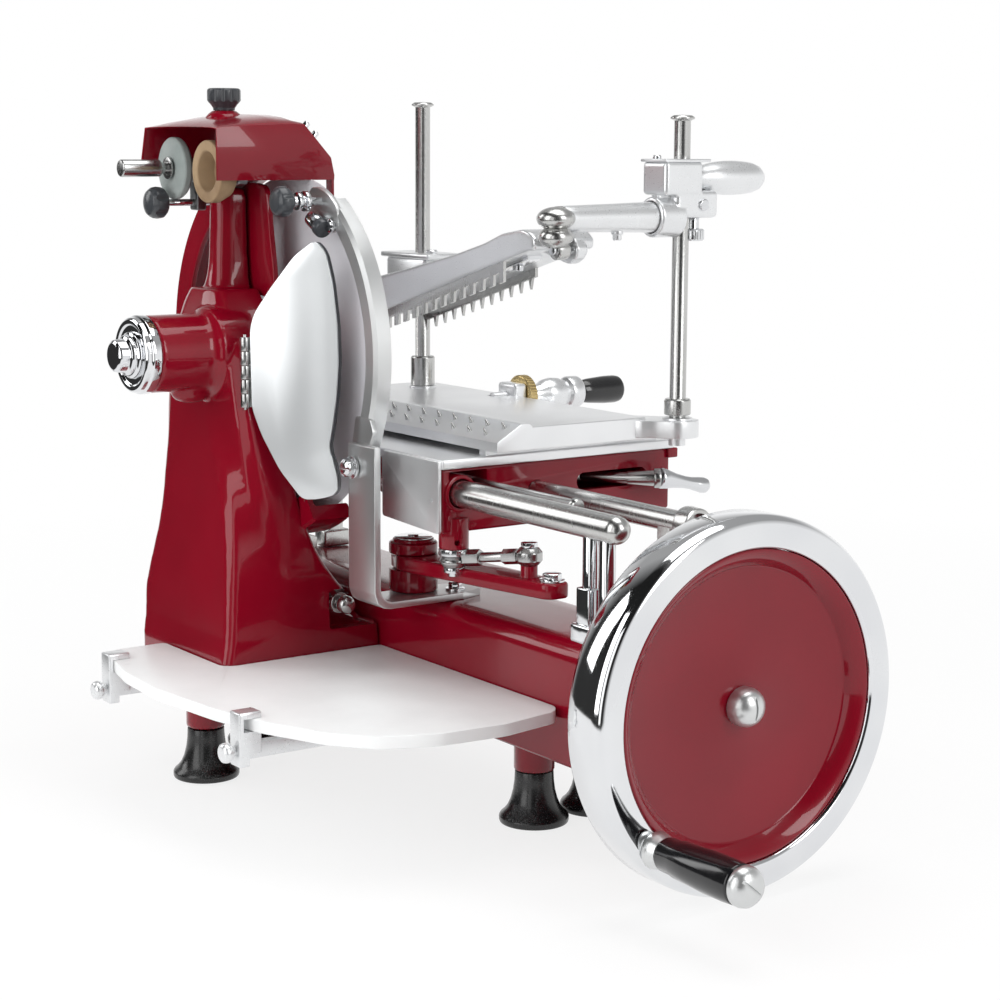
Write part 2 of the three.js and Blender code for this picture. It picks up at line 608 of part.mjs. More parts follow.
// Handle on the rim.
const handleAngle = THREE.MathUtils.degToRad(225);
const handleReach = wheelRadius - handleInset;
const handleAt = [shaftY + handleReach * Math.cos(handleAngle),
  shaftZ + handleReach * Math.sin(handleAngle)];
const handleStart = rimFront + gap;
add('handle_spindle', cut(turned('x', handleAt, [[0, handleStart], [14, handleStart], [15, handleStart + 2],
  [13, handleStart + 9], [8, handleStart + 11], [6, handleStart + 11], [6, handleStart + 92 + gap],
  [15, handleStart + 92 + gap], [17, handleStart + 96], [14, handleStart + 102], [7, handleStart + 105],
  [0, handleStart + 106]], 12), block(handleStart + 102, handleStart + 110, handleAt[0] - 2,
  handleAt[0] + 2,
  handleAt[1] - 20, handleAt[1] + 20)), chrome);
add('handle_grip', ringOfProfile('x', handleAt, 6 + gap, [[13, handleStart + 12], [15, handleStart + 14],
  [gripRadius, handleStart + 40], [gripRadius, handleStart + 84], [gripRadius - 2, handleStart + 91],
  [14, handleStart + 92]], 12), black);

// Deflector plate on hinges in front of the blade.
const hinge = [54.5, -79];
const coverEdge = [119, -21];
const coverAngle = Math.atan2(coverEdge[1] - hinge[1], coverEdge[0] - hinge[0]);
const coverThickness = 3.5;
const coverOutline = [[5, 388], [14, 424], [36, 452], [56, 464], [66, 452], [74, 430], [81, 395], [83, 363],
  [81, 333], [77, 306], [74, 290], [79, 276], [82, 262], [81, 251], [66, 246], [50, 245], [30, 270], [14,
  300],
  [6, 322]];
function alongCover(g) {
  g.rotateZ(coverAngle);
  g.translate(hinge[0], hinge[1], 0);
  return g;
}
const cover = alongCover(slab('y', outline(coverOutline), -coverThickness / 2, coverThickness / 2, 1.2, 2,
  1));
const knuckleHeight = 12;
const knuckleZ = (k) => 322 + k * knuckleHeight;
const knuckle = (k) => cylinder('z', hinge, 4.2, knuckleZ(k), knuckleZ(k) + knuckleHeight - 0.6, 14);
const coverKnuckles = [0, 2, 4].map((k) => unite(knuckle(k), alongCover(block(1, 9, -1.5, 1.5, knuckleZ(k),
  knuckleZ(k) + knuckleHeight - 0.6))));
const hingeBore = cylinder('z', hinge, 1.9, 300, 430, 10);
add('deflector_plate', cut(unite(cover, ...coverKnuckles), hingeBore), chrome);
const leafPlate = cut(block(38, 55, -82, -56, knuckleZ(0), knuckleZ(5)), column.translate([0.4, -0.4, 0]),
  column.translate([0.4, 0, 0]), cylinder('z', hinge, 5.4, 300, 430, 16), block(30, 60, -100, -78, 300,
  430));
const leafKnuckles = [1, 3].map((k) => unite(knuckle(k), block(49, 55, -77, -71, knuckleZ(k),
  knuckleZ(k) + knuckleHeight - 0.6)));
add('hinge_leaf', unite(leafPlate, ...leafKnuckles, cylinder('z', hinge, 1.5, knuckleZ(0) - 2,
  knuckleZ(5) + 2, 10)),
  steel);

// Sharpener: a post in the neck carries the stones, the hood and a lift knob.
const carrierZ = neckTop + gap;
const hoodTop = neckTop + 51;
const stoneZ = neckTop + 16;
const pressZ = neckTop - 14;
const post = unite(
  cylinder('z', [neck.x, neck.y], sharpenerPostRadius, neckTop - sharpenerSocket + 2, hoodTop + 18.5, 14),
  block(neck.x - 20, neck.x + 20, neck.y - 13, neck.y + 10, carrierZ, carrierZ + 22, 3),
  block(neck.x - 46, neck.x + 46, neck.y - 13, neck.y - 1, carrierZ + 2, carrierZ + 20, 3),
  cut(block(-79, -64.5, -60, -50, pressZ - 7, carrierZ + 8), cylinder('y', [-72, pressZ], 3 + gap, -70,
  -40, 12)));
const spindle = (at, y0, y1, yNut) => unite(cylinder('y', at, 5, y0, y1, 12),
  cylinder('y', at, 8, yNut, yNut + 5, 6));
add('sharpener_carrier', unite(post, spindle([-70, stoneZ], -104, -52, -90), spindle([0, stoneZ - 2], -84,
  -52, -85),
  cylinder('y', [-70, stoneZ], 9, -71, -40, 12), cylinder('y', [0, stoneZ - 2], 9, -63, -40, 12)),
  aluminium);
const hoodX = [-99, 31];
const hoodWall = 2;
const hoodProfile = [[-88, hoodTop - 2], [-70, hoodTop + 3], [-48, hoodTop + 9], [-34, hoodTop + 11],
  [-24, hoodTop + 9], [-6, hoodTop + 4], [4, hoodTop - 4], [20, hoodTop - 26]];
const hoodUnder = hoodProfile.map(([y, z]) => [y, z - hoodWall]).reverse();
const hoodSheet = slab('x', outline([...hoodProfile, [22, hoodTop - 30], [20, hoodTop - 31], ...hoodUnder]),
  hoodX[0], hoodX[1]);
const hoodSide = (x0) => slab('x', outline([...hoodProfile, [22, hoodTop - 30], [24, hoodTop - 39], [-86,
  hoodTop - 39]]), x0,
  x0 + hoodWall);
const hoodLeft = slab('x', outline([...hoodProfile, [20, hoodTop - 28], [-88, hoodTop - 30]]), hoodX[0],
  hoodX[0] + hoodWall);
const hood = cut(unite(hoodSheet, hoodLeft, hoodSide(hoodX[1] - hoodWall)),
  cylinder('z', [neck.x, neck.y], sharpenerPostRadius + gap, hoodTop - 16, hoodTop + 34, 14));
add('sharpener_hood', hood, redSheet);
add('lift_knob', cut(unite(
  turned('z', [neck.x, neck.y], [[0, 12], [13, 12], [14, 14], [13, 21], [6, 23], [6, 27], [12, 28], [14,
  30],
    [14, 38], [12, 40], [0, 40]].map(([r, z]) => [r, hoodTop + z]), 12)),
cylinder('z', [neck.x, neck.y], sharpenerPostRadius + gap, hoodTop + 4, hoodTop + 19, 14)), black);
function stone(name, at, outer, y0, y1, material, cup) {
  const body = cup
    ? turned('y', at, [[0, y1], [outer - 8, y1], [outer, y0 + 4], [outer, y0], [outer - 8, y0],
      [outer - 11, y0 + 6], [0, y0 + 6]], 14)
    : turned('y', at, [[0, y0], [outer - 1, y0], [outer, y0 + 1], [outer, y1 - 1], [outer - 1, y1], [0,
    y1]], 14);
  add(name, cut(body, cylinder('y', at, 5 + gap, y0 - 5, y1 + 5, 12)), material);
}
stone('grey_stone', [-70, stoneZ], 25, -84, -72, greyStone, false);
stone('cup_wheel', [0, stoneZ - 2], 26.5, -79, -64, brownStone, true);
add('press_knob', unite(cylinder('y', [-72, pressZ], 3, -88, -40, 12),
  turned('y', [-72, pressZ], [[0, -102], [9, -102], [12.5, -99], [12.5, -92], [9, -88], [0, -86]], 12)),
  black);

// Carriage: red casting on the two guides, top plate with its apron.
const castX = carriageX;
const carriageBody = unite(
  block(castX[0], castX[1], rodY - 14, carriageY[1], castingZ[0] + 14, castingZ[1], 3),
  block(castX[0] + 180, castX[1], rodY + 14, carriageY[1] - 4, castingZ[0], castingZ[1] - 4, 3),
  cylinder('x', [rodY, rodZ], rodRadius + 4.5, castX[0] + 182, castX[1] + 3, 16),
  cylinder('x', [railY, railZ], railRadius + 9, castX[0] + 182, castX[1] + 2, 14));
const slotY = [138, 206];
const slotZ = [248, 268];
const leverPivot = [castX[1] - 36, (slotY[0] + slotY[1]) / 2];
const leverPost = 5;
const leverZ = (slotZ[0] + slotZ[1]) / 2;
const carriagePockets = cut(carriageBody,
  block(castX[0] + 10, castX[1] - 10, rodY + 20, railY - 22, castingZ[0] - 20, castingZ[1] - 8),
  block(castX[0] + 10, castX[1] - 10, railY + 22, carriageY[1] - 10, castingZ[0] - 20, castingZ[1] - 8),
  block(castX[0] - 5, castX[0] + 140, rodY - 40, carriageY[1] + 5, castingZ[0] - 20, castingZ[0] + 20),
  cylinder('x', [rodY, rodZ], rodRadius + gap, castX[0] - 20, castX[1] + 20, 16),
  block(castX[0] - 5, castX[0] + 150.5, rodY - 20, rodY + 18, castingZ[0] - 10, rodZ + 13.2),
  cylinder('x', [railY, railZ], railRadius + gap, castX[0] - 20, castX[1] + 20, 14),
  block(castX[1] - 20, castX[1] + 20, slotY[0], slotY[1], slotZ[0], slotZ[1]));
add('carriage_casting', unite(carriagePockets, cylinder('z', leverPivot, leverPost, leverZ - 7,
  castingZ[1] - 4, 12)),
  red);
const plate = unite(
  block(castX[0] - 6, castX[1] + 6, carriageY[0], carriageY[1] + 6, plateTop - plateThickness, plateTop,
  1.5),
  slab('y', outline([[castX[1] + 4, plateTop - 4], [castX[1] - 82, plateTop - 4], [castX[1] - 82, 233],
    [castX[1] + 4, 229]], 4), carriageY[0] - 3, carriageY[0]));
const tableRails = [castX[0] - 4, castX[1] - 9].map((x) => block(x, x + 10, tableY[0] - 24,
  carriageY[1] - 10,
  plateTop - 1, tableTop - tableThickness - gap));
const apronFix = block(castX[1] - 80, castX[1] + 4, carriageY[0] - 3, carriageY[0] + 4, plateTop - 8,
  plateTop - 1);
add('carriage_plate', unite(plate, apronFix, ...tableRails), aluminium);
const leverStart = leverPivot[0] + 8;
add('release_lever', cut(unite(
  cylinder('z', leverPivot, 10, leverZ - 5, leverZ + 5, 16),
  cylinder('x', [leverPivot[1], leverZ], 4.6, leverStart, castX[1] + 14, 12),
  bar([castX[1] + 12, leverPivot[1], leverZ], [castX[1] + 18, leverPivot[1] + 30, leverZ - 2], 5, 12),
  bar([castX[1] + 18, leverPivot[1] + 28, leverZ - 2], [castX[1] + 22, leverPivot[1] + 72, leverZ - 4],
  7.5, 12)),
cylinder('z', leverPivot, leverPost + gap, leverZ - 12, leverZ + 12, 12)), steel);

const crankX = 40;
const crankZ = 312;
const crankSeat = tableY[1] + 10;
const crankY = crankSeat + gap;
const crankRadius = 5;

// Meat table on top, with a sloping spiked strip along the blade side.
const ear = outline([[tableX[1] - 30, tableY[1] - 12], [tableX[1] + 4, tableY[1] - 12], [outerPost.x + 16,
  outerPost.y - 14], [outerPost.x + 18, outerPost.y + 10], [outerPost.x + 6, outerPost.y + 18],
[outerPost.x - 16, outerPost.y + 14], [tableX[1] - 30, tableY[1] + 8]]);
const tableBottom = tableTop - tableThickness;
const tableOutline = outline([[tableX[1], tableY[0]], [tableX[1], tableY[1]], [tableX[0], tableY[1]],
  [tableX[0], tableY[0]]], 5);
const strip = slab('x', outline([[tableY[0] + 6, tableTop], [tableY[0] + 6, tableBottom], [tableY[0] - 28,
  tableBottom], [tableY[0] - 28, tableBottom + 8], [tableY[0] - 4, tableTop + 3], [tableY[0] + 6,
  tableTop + 3]]),
tableX[0], tableX[1]);
let table = unite(slab('z', tableOutline, tableBottom, tableTop, 1.5, 2, 1),
  slab('z', ear, tableBottom + 2, tableTop - 2), strip,
  cylinder('z', [outerPost.x, outerPost.y], 13, tableBottom + 2, tableTop, 14),
  cylinder('z', [innerPost.x, innerPost.y], 13, tableBottom + 2, tableTop + 2, 14));
const spikeGeometry = [];
for (let row = 0; row < 2; row += 1) {
  for (let i = 0; i < 13; i += 1) {
    const x = tableX[1] - 14 - i * 24 - row * 12;
    const y = tableY[0] - 8 - row * 13;
    const z = tableTop + 1 - row * 6;
    const s = new THREE.ConeGeometry(5, 13, 4);
    s.rotateX(Math.PI / 2 + 0.42);
    s.translate(x, y - 1, z + 2.5);
    spikeGeometry.push(s);
  }
}
table = unite(table, ...spikeGeometry);
const crankBoss = block(crankX - 14, crankX + 14, tableY[1] - 4, crankSeat, tableBottom, crankZ + 13, 3);
const underGroove = block(tableX[0] + 34, tableX[1] - 34, tableY[0] + 4, tableY[1] - 12, tableBottom - 5,
  tableBottom + 8);
add('meat_table', cut(unite(table, crankBoss), underGroove,
  cylinder('y', [crankX, crankZ], crankRadius + gap, tableY[1] - 22, crankSeat + 5, 14),
  cylinder('z', [innerPost.x, innerPost.y], postRadius + gap, tableBottom - 5, tableTop + 9, 14),
  cylinder('z', [outerPost.x, outerPost.y], postRadius + gap, tableBottom - 5, tableTop + 9, 14)),
  aluminium);
function post2(name, at, collar) {
  add(name, turned('z', at, [[0, tableBottom + 3], [postRadius, tableBottom + 3], [postRadius,
    tableTop + 2 + gap],
    [collar, tableTop + 2 + gap], [collar, tableTop + 13], [collar - 2, tableTop + 15],
    [postRadius, tableTop + 16], [postRadius, postTop - 4], [postRadius - 1, postTop - 1],
    [postRadius - 3, postTop], [0, postTop]], 12), chrome);
}
post2('inner_post', [innerPost.x, innerPost.y], 11);
post2('outer_post', [outerPost.x, outerPost.y], 11);

// Feed crank on the table: brass dial ring, cone arm and a black grip.
add('dial_ring', cut(slab('y', outline(teeth(20, 18.6, 20)), crankY, crankY + 9).translate(crankX, 0,
  crankZ),
  cylinder('y', [crankX, crankZ], crankRadius + gap, crankY - 10, crankY + 20, 14)), brass);
add('crank_arm', turned('y', [crankX, crankZ], [[0, tableY[1] - 20], [crankRadius, tableY[1] - 20],
  [crankRadius, crankY + 10], [8, crankY + 10], [9, crankY + 24], [14, crankY + 30], [15, crankY + 42],
  [12, crankY + 52], [15, crankY + 54], [15, crankY + 68], [5, crankY + 68], [5, crankY + 112],
  [0, crankY + 112]], 16), steel);
add('crank_grip', ringOfProfile('y', [crankX, crankZ], 5 + gap, [[9, crankY + 69], [11, crankY + 78],
  [13, crankY + 100], [13, crankY + 114], [10, crankY + 118]], 16), black);

// Hold-down: a sleeve on the outer post carries the arm, the arm carries the press.
const sleeveZ = [496, 532];
const armY = [115, outerPost.y - 16];
const sleeve = unite(
  block(outerPost.x - 15, outerPost.x + 15, outerPost.y - 18, outerPost.y + 20, armZ - 14, 508, 4),
  block(outerPost.x - 18, outerPost.x + 18, outerPost.y - 32, outerPost.y + 30, 506, sleeveZ[1], 6));
const egg = turned('y', [outerPost.x, 517], [[0, outerPost.y + 28], [9, outerPost.y + 28], [9,
  outerPost.y + 38],
  [14, outerPost.y + 50], [16, outerPost.y + 62], [15, outerPost.y + 74], [9, outerPost.y + 84],
  [0, outerPost.y + 88]], 12);
const sleeveScrew = turned('z', [outerPost.x, outerPost.y + 15.5], [[0, 446], [6, 446], [7, 448], [7, 458],
  [6, 460], [4, 461], [4, 474], [0, 474]], 12);
add('hold_sleeve', cut(unite(sleeve, egg, sleeveScrew),
  cylinder('z', [outerPost.x, outerPost.y], postRadius + gap, 440, 560, 14)), aluminium);
add('arm_tube', cylinder('y', [outerPost.x, armZ], 13, armY[0], armY[1] - 2 - gap, 16), chrome);
const kneeY = armY[0] - 17;
const pivotZ = armZ - 26;
add('arm_knuckle', cut(unite(ball([outerPost.x, kneeY, armZ], 16, 12, 8),
  cylinder('y', [outerPost.x, armZ], 15, kneeY, armY[0] - gap, 16),
  ball([outerPost.x, kneeY, pivotZ], 12.5, 12, 8)),
cylinder('y', [outerPost.x, pivotZ], 4 + gap, kneeY - 30, kneeY + 30, 12)), chrome);

// Press: an inclined casting from the knuckle to the inner post, with two combs.
const pressTilt = Math.atan2(431 - 373, 237 - 34);
const pressLow = { x: -18, z: 394 };
const run = (x) => pressLow.z + (x - pressLow.x) * Math.tan(pressTilt);
const pressY = [88, 150];
const pressProfile = (thick) => outline([[pressLow.x, run(pressLow.x)], [236, run(236)], [236, 482], [214,
  484],
  [190, run(190) + thick + 10], [30, run(30) + thick + 14], [pressLow.x, run(pressLow.x) + thick + 16]]);
const pressBody = unite(
  slab('y', pressProfile(14), pressY[0], pressY[1], 0),
  cylinder('y', [outerPost.x, pivotZ], 4, kneeY - 14, kneeY + 16, 12),
  slab('y', outline([[214, 466], [240, 452], [254, 447], [264, 452], [266, 462], [258, 470], [214, 482]]),
    kneeY + 13.5, kneeY + 24));
add('press_casting', cut(pressBody,
  slab('y', outline([[10, run(10) + 10], [186, run(186) + 10], [186, 520], [10, 520]]), pressY[0] + 8,
    pressY[1] - 8),
  cylinder('y', [outerPost.x, armZ], 16.5, 0, 300, 16)), aluminium);
const comb = (name, y0, depth, count, pointed) => {
  const pts = [[pressLow.x + 4, run(pressLow.x + 4) - gap]];
  const x0 = pressLow.x + 4;
  const x1 = 222;
  pts.push([x1, run(x1) - gap]);
  const step = (x1 - x0) / count;
  for (let i = 0; i < count; i += 1) {
    const a = x1 - i * step;
    if (pointed) {
      pts.push([a - step * 0.1, run(a) - 10], [a - step / 2, run(a - step / 2) - depth],
        [a - step * 0.9, run(a - step) - 10]);
    } else {
      pts.push([a, run(a) - depth], [a - step * 0.6, run(a - step * 0.6) - depth],
        [a - step * 0.6, run(a - step * 0.6) - 10], [a - step, run(a - step) - 10]);
    }
  }
  add(name, slab('y', outline(pts), y0, y0 + 3), steel);
};
comb('square_comb', pressY[0] + 2, 19, 12, false);
comb('pointed_comb', pressY[1] - 6, 19, 15, true);
const guideBlockZ = [388, 442];
add('post_guide', cut(unite(
  block(innerPost.x - 34, innerPost.x + 34, innerPost.y - 20, innerPost.y + 18, guideBlockZ[0],
  guideBlockZ[1] - 4,
    5),
  block(innerPost.x - 41, innerPost.x + 41, innerPost.y - 21.5, innerPost.y + 20, guideBlockZ[1] - 5,
    guideBlockZ[1]),
  turned('z', [innerPost.x + 24, innerPost.y - 6], [[0, guideBlockZ[1] - 1], [6, guideBlockZ[1] - 1],
    [6, guideBlockZ[1] + 3], [0, guideBlockZ[1] + 4]], 12)),
cylinder('z', [innerPost.x, innerPost.y], postRadius + gap, 380, 480, 14)), aluminium);

// Linkage under the carriage: swing arm, its pivot cylinder, link rod and rod ends.
const lugX = 209;
const lugY = 30;
const lugPin = 5;
add('link_lug', cut(unite(block(castX[1] - 22, castX[1] + 3, lugY - 13.7, lugY + 13.7, 222, 254, 2),
  cylinder('z', [lugX, lugY], 11, 213.6, 224, 16)),
cylinder('x', [rodY, rodZ], rodRadius + 4.5 + gap, 150, 260, 16),
cylinder('z', [lugX, lugY], lugPin + gap, 190, 240, 12)), red);
const armPivot = [132, 40];
const armEnd = [300, 64];
const armZs = [184, 197];
add('pivot_cylinder', unite(
  turned('z', armPivot, [[0, footPlateTop + 6 + gap], [21, footPlateTop + 6 + gap], [21, armZs[0] - gap],
    [8, armZs[0] - gap], [8, armZs[1] + gap], [21, armZs[1] + gap], [21, 207], [18, 210], [0, 210]], 12)),
    red);
const swing = unite(
  slab('z', outline([[armPivot[0] - 20, armPivot[1] - 12], [armPivot[0] + 10, armPivot[1] - 22],
    [armEnd[0] + 12, armEnd[1] - 12], [armEnd[0] + 12, armEnd[1] + 12], [armPivot[0] + 10,
    armPivot[1] + 22],
    [armPivot[0] - 20, armPivot[1] + 12]], 9), armZs[0], armZs[1], 1.5, 3, 1),
  cylinder('z', armEnd, 8, armZs[1] - 1, armZs[1] + 7, 6),
  cylinder('z', [armEnd[0] - 26, armEnd[1] - 4], 7, armZs[1] - 1, 206.5, 12),
  cylinder('z', [armEnd[0] - 26, armEnd[1] - 4], 4, 205, 224, 12));
add('swing_arm', cut(swing, cylinder('z', armPivot, 8 + gap, 160, 220, 14)), red);
const linkFrom = [armEnd[0] - 26, armEnd[1] - 4, 214];
const linkTo = [lugX, lugY, 205];
add('link_rod', cut(unite(
  cylinder('z', [linkFrom[0], linkFrom[1]], 11, 207, 221, 12),
  cylinder('z', [linkTo[0], linkTo[1]], 13, 198, 212, 12),
  bar(linkFrom, linkTo, 5, 12)),
cylinder('z', [linkFrom[0], linkFrom[1]], 4 + gap, 200, 240, 12)), steel);

machine.updateMatrixWorld(true);
const box = new THREE.Box3().setFromObject(machine);
machine.position.set(-(box.min.x + box.max.x) / 2, -(box.min.y + box.max.y) / 2, -box.min.z);
machine.updateMatrixWorld(true);

export default machine;
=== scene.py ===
import math

import bmesh
import bpy
from mathutils import Matrix, Vector


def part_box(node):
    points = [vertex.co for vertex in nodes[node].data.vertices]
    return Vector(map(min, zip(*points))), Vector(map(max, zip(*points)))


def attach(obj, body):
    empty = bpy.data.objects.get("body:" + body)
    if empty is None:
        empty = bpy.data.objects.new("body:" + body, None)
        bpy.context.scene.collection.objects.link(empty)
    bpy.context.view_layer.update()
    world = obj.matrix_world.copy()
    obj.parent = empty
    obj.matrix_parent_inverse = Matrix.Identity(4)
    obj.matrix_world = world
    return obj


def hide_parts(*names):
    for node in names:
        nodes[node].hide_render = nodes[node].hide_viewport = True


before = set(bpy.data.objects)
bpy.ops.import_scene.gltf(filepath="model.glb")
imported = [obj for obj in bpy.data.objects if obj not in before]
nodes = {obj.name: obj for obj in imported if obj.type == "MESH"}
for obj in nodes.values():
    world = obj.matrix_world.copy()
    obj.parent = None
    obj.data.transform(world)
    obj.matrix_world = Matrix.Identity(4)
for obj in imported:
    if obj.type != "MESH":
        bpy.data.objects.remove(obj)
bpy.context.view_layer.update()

# Sizes are in millimetres in the machine's own frame: the blade centre is at X 0, Y 0.
bladeZ = 366
bladeLow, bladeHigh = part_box("blade")
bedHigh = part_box("bed_casting")[1]
shift = Vector(((bladeLow.x + bladeHigh.x) / 2, bedHigh.y - 0.150, (bladeLow.z + bladeHigh.z) / 2 - bladeZ / 1000))
toRow = Matrix.Translation(shift) @ Matrix.Scale(0.001, 4)
axisTurn = {
    "x": Matrix(((0, 0, 1), (1, 0, 0), (0, 1, 0))).to_4x4(),
    "y": Matrix(((1, 0, 0), (0, 0, 1), (0, 1, 0))).to_4x4(),
    "z": Matrix.Identity(4),
}


def placed(axis, at=(0, 0)):  # at is (y, z) for x, (x, z) for y and (x, y) for z
    offset = {"x": (0, at[0], at[1]), "y": (at[0], 0, at[1]), "z": (at[0], at[1], 0)}[axis]
    return Matrix.Translation(offset) @ axisTurn[axis]


def softened(bm, width, angle=28, segments=3):  # rounds every edge sharper than the angle
    bm.normal_update()
    sharp = [e for e in bm.edges if e.is_manifold and e.calc_face_angle(0) > math.radians(angle)]
    if sharp and width > 0:
        bmesh.ops.bevel(bm, geom=sharp, offset=width, segments=segments, profile=0.5, affect="EDGES", material=-1,
                        clamp_overlap=True)
    return bm


# A profile turned about an axis; its pairs are a radius and a place along the axis, counted from the base
def spun(profile, axis, at, steps=96, soften=0.0, start=0, sweep=360, base=0):
    bm = bmesh.new()
    verts = [bm.verts.new((r, 0, base + t)) for r, t in profile]
    edges = [bm.edges.new(pair) for pair in zip(verts, verts[1:])]
    full = sweep == 360
    bmesh.ops.spin(bm, geom=verts + edges, cent=(0, 0, 0), axis=(0, 0, 1), angle=math.radians(sweep), steps=steps,
                   use_merge=full)
    bmesh.ops.remove_doubles(bm, verts=bm.verts, dist=0.0005)
    if not full:
        bmesh.ops.holes_fill(bm, edges=bm.edges, sides=0)
    bmesh.ops.recalc_face_normals(bm, faces=bm.faces)
    if soften:
        softened(bm, soften)
    bmesh.ops.transform(bm, matrix=placed(axis, at) @ Matrix.Rotation(math.radians(start), 4, "Z"), verts=bm.verts)
    bmesh.ops.recalc_face_normals(bm, faces=bm.faces)
    return bm


def flat(points, axis, low, high, corner=0.0, edge=0.0, steps=6, edgeSteps=3):  # a plate cut to an outline
    bm = bmesh.new()
    verts = [bm.verts.new((p[0], p[1], low)) for p in points]
    bm.faces.new(verts)
    if corner:
        bmesh.ops.bevel(bm, geom=bm.verts[:], offset=corner, segments=steps, profile=0.5, affect="VERTICES",
                        material=-1, clamp_overlap=True)
    top = bmesh.ops.extrude_face_region(bm, geom=bm.faces[:])
    moved = [v for v in top["geom"] if isinstance(v, bmesh.types.BMVert)]
    bmesh.ops.translate(bm, verts=moved, vec=(0, 0, high - low))
    bmesh.ops.recalc_face_normals(bm, faces=bm.faces)
    if edge:
        rims = [e for e in bm.edges if abs(e.verts[0].co.z - e.verts[1].co.z) < 1e-6]
        bmesh.ops.bevel(bm, geom=rims, offset=edge, segments=edgeSteps, profile=0.5, affect="EDGES", material=-1,
                        clamp_overlap=True)
    bmesh.ops.transform(bm, matrix=axisTurn[axis], verts=bm.verts)
    bmesh.ops.recalc_face_normals(bm, faces=bm.faces)
    return bm


def lofted(rows, steps=6):  # each row is (height, corners, corner radius)
    rings = []
    for z, corners, radius in rows:
        ring = bmesh.new()
        verts = [ring.verts.new((x, y, z)) for x, y in corners]
        ring.faces.new(verts)
        bmesh.ops.bevel(ring, geom=verts, offset=radius, segments=steps, profile=0.5, affect="VERTICES",
                        material=-1, clamp_overlap=True)
        rings.append(ring)
    bm = together(*rings)
    caps = bm.faces[:]
    for low, high in zip(caps, caps[1:]):
        bmesh.ops.bridge_loops(bm, edges=[*low.edges, *high.edges])
    bmesh.ops.delete(bm, geom=caps[1:-1], context="FACES_ONLY")
    bmesh.ops.recalc_face_normals(bm, faces=bm.faces)
    return bm


def between(rows):  # adds rows along smooth curves through the given rows
    slopes = []
    for i in range(len(rows)):
        a, b = rows[max(i - 1, 0)], rows[min(i + 1, len(rows) - 1)]
        slopes.append([[(q - p) / (b[0] - a[0]) for p, q in zip(m, n)] for m, n in zip(a[1], b[1])])
    full = []
    for i, ((z0, ring0, radius), (z1, ring1, _)) in enumerate(zip(rows, rows[1:])):
        for t in (0, 0.25, 0.5, 0.75):
            h = (2 * t ** 3 - 3 * t ** 2 + 1, (t ** 3 - 2 * t ** 2 + t) * (z1 - z0), 3 * t ** 2 - 2 * t ** 3,
                 (t ** 3 - t ** 2) * (z1 - z0))
            corners = [tuple(h[0] * p + h[1] * m + h[2] * q + h[3] * n for p, m, q, n in zip(*four))
                       for four in zip(ring0, slopes[i], ring1, slopes[i + 1])]
            full.append((z0 + (z1 - z0) * t, corners, radius))
    return [*full, rows[-1]]


def boxRows(rows):  # (z, x0, x1, y0, y1, radius) to rows for lofted
    return [(z, ((x0, y0), (x1, y0), (x1, y1), (x0, y1)), r) for z, x0, x1, y0, y1, r in rows]


def slab(x0, x1, y0, y1, z0, z1, edge=1.0):
    bm = bmesh.new()
    size = Matrix.Diagonal((x1 - x0, y1 - y0, z1 - z0, 1))
    bmesh.ops.create_cube(bm, size=1, matrix=Matrix.Translation(((x0 + x1) / 2, (y0 + y1) / 2, (z0 + z1) / 2)) @ size)
    if edge:
        bmesh.ops.bevel(bm, geom=bm.edges[:], offset=edge, segments=3, profile=0.5, affect="EDGES", material=-1,
                        clamp_overlap=True)
    return bm


def rod(a, b, radius, radiusEnd=None, sides=48, edge=0.5):
    a, b = Vector(a), Vector(b)
    bm = bmesh.new()
    turn = (b - a).to_track_quat("Z", "Y").to_matrix().to_4x4()
    bmesh.ops.create_cone(bm, cap_ends=True, cap_tris=False, segments=sides, radius1=radius,
                          radius2=radius if radiusEnd is None else radiusEnd, depth=(b - a).length,
                          matrix=Matrix.Translation((a + b) / 2) @ turn)
    if edge:
        softened(bm, edge, 60, 2)
    return bm


def rodAlong(axis, at, low, high, radius, **shape):  # a rod parallel to an axis
    ends = [placed(axis, at) @ Vector((0, 0, t)) for t in (low, high)]
    return rod(*ends, radius, **shape)


def circle(at, radius, count, first=0):  # places spaced evenly on a circle
    turns = [math.radians(first + 360 / count * i) for i in range(count)]
    return [(at[0] + radius * math.cos(a), at[1] + radius * math.sin(a)) for a in turns]


def ball(at, radius, stretch=(1, 1, 1), steps=48):
    bm = bmesh.new()
    bmesh.ops.create_uvsphere(bm, u_segments=steps, v_segments=steps // 2, radius=radius,
                              matrix=Matrix.Translation(at) @ Matrix.Diagonal((*stretch, 1)))
    return bm


def together(*parts):
    whole = bmesh.new()
    for bm in parts:
        mesh = bpy.data.meshes.new("join")
        bm.to_mesh(mesh)
        bm.free()
        whole.from_mesh(mesh)
        bpy.data.meshes.remove(mesh)
    return whole


def evaluated(bm, addModifiers, others=()):  # runs modifiers on a bmesh and gives the result back
    made = []
    for part in (bm, *others):
        mesh = bpy.data.meshes.new("work")
        part.to_mesh(mesh)
        part.free()
        obj = bpy.data.objects.new("work", mesh)
        bpy.context.scene.collection.objects.link(obj)
        made.append(obj)
    addModifiers(made[0], made[1:])
    bpy.context.view_layer.update()
    depsgraph = bpy.context.evaluated_depsgraph_get()
    mesh = bpy.data.meshes.new_from_object(made[0].evaluated_get(depsgraph))
    result = bmesh.new()
    result.from_mesh(mesh)
    for obj in made:
        old = obj.data
        bpy.data.objects.remove(obj)
        bpy.data.meshes.remove(old)
    bpy.data.meshes.remove(mesh)
    return result


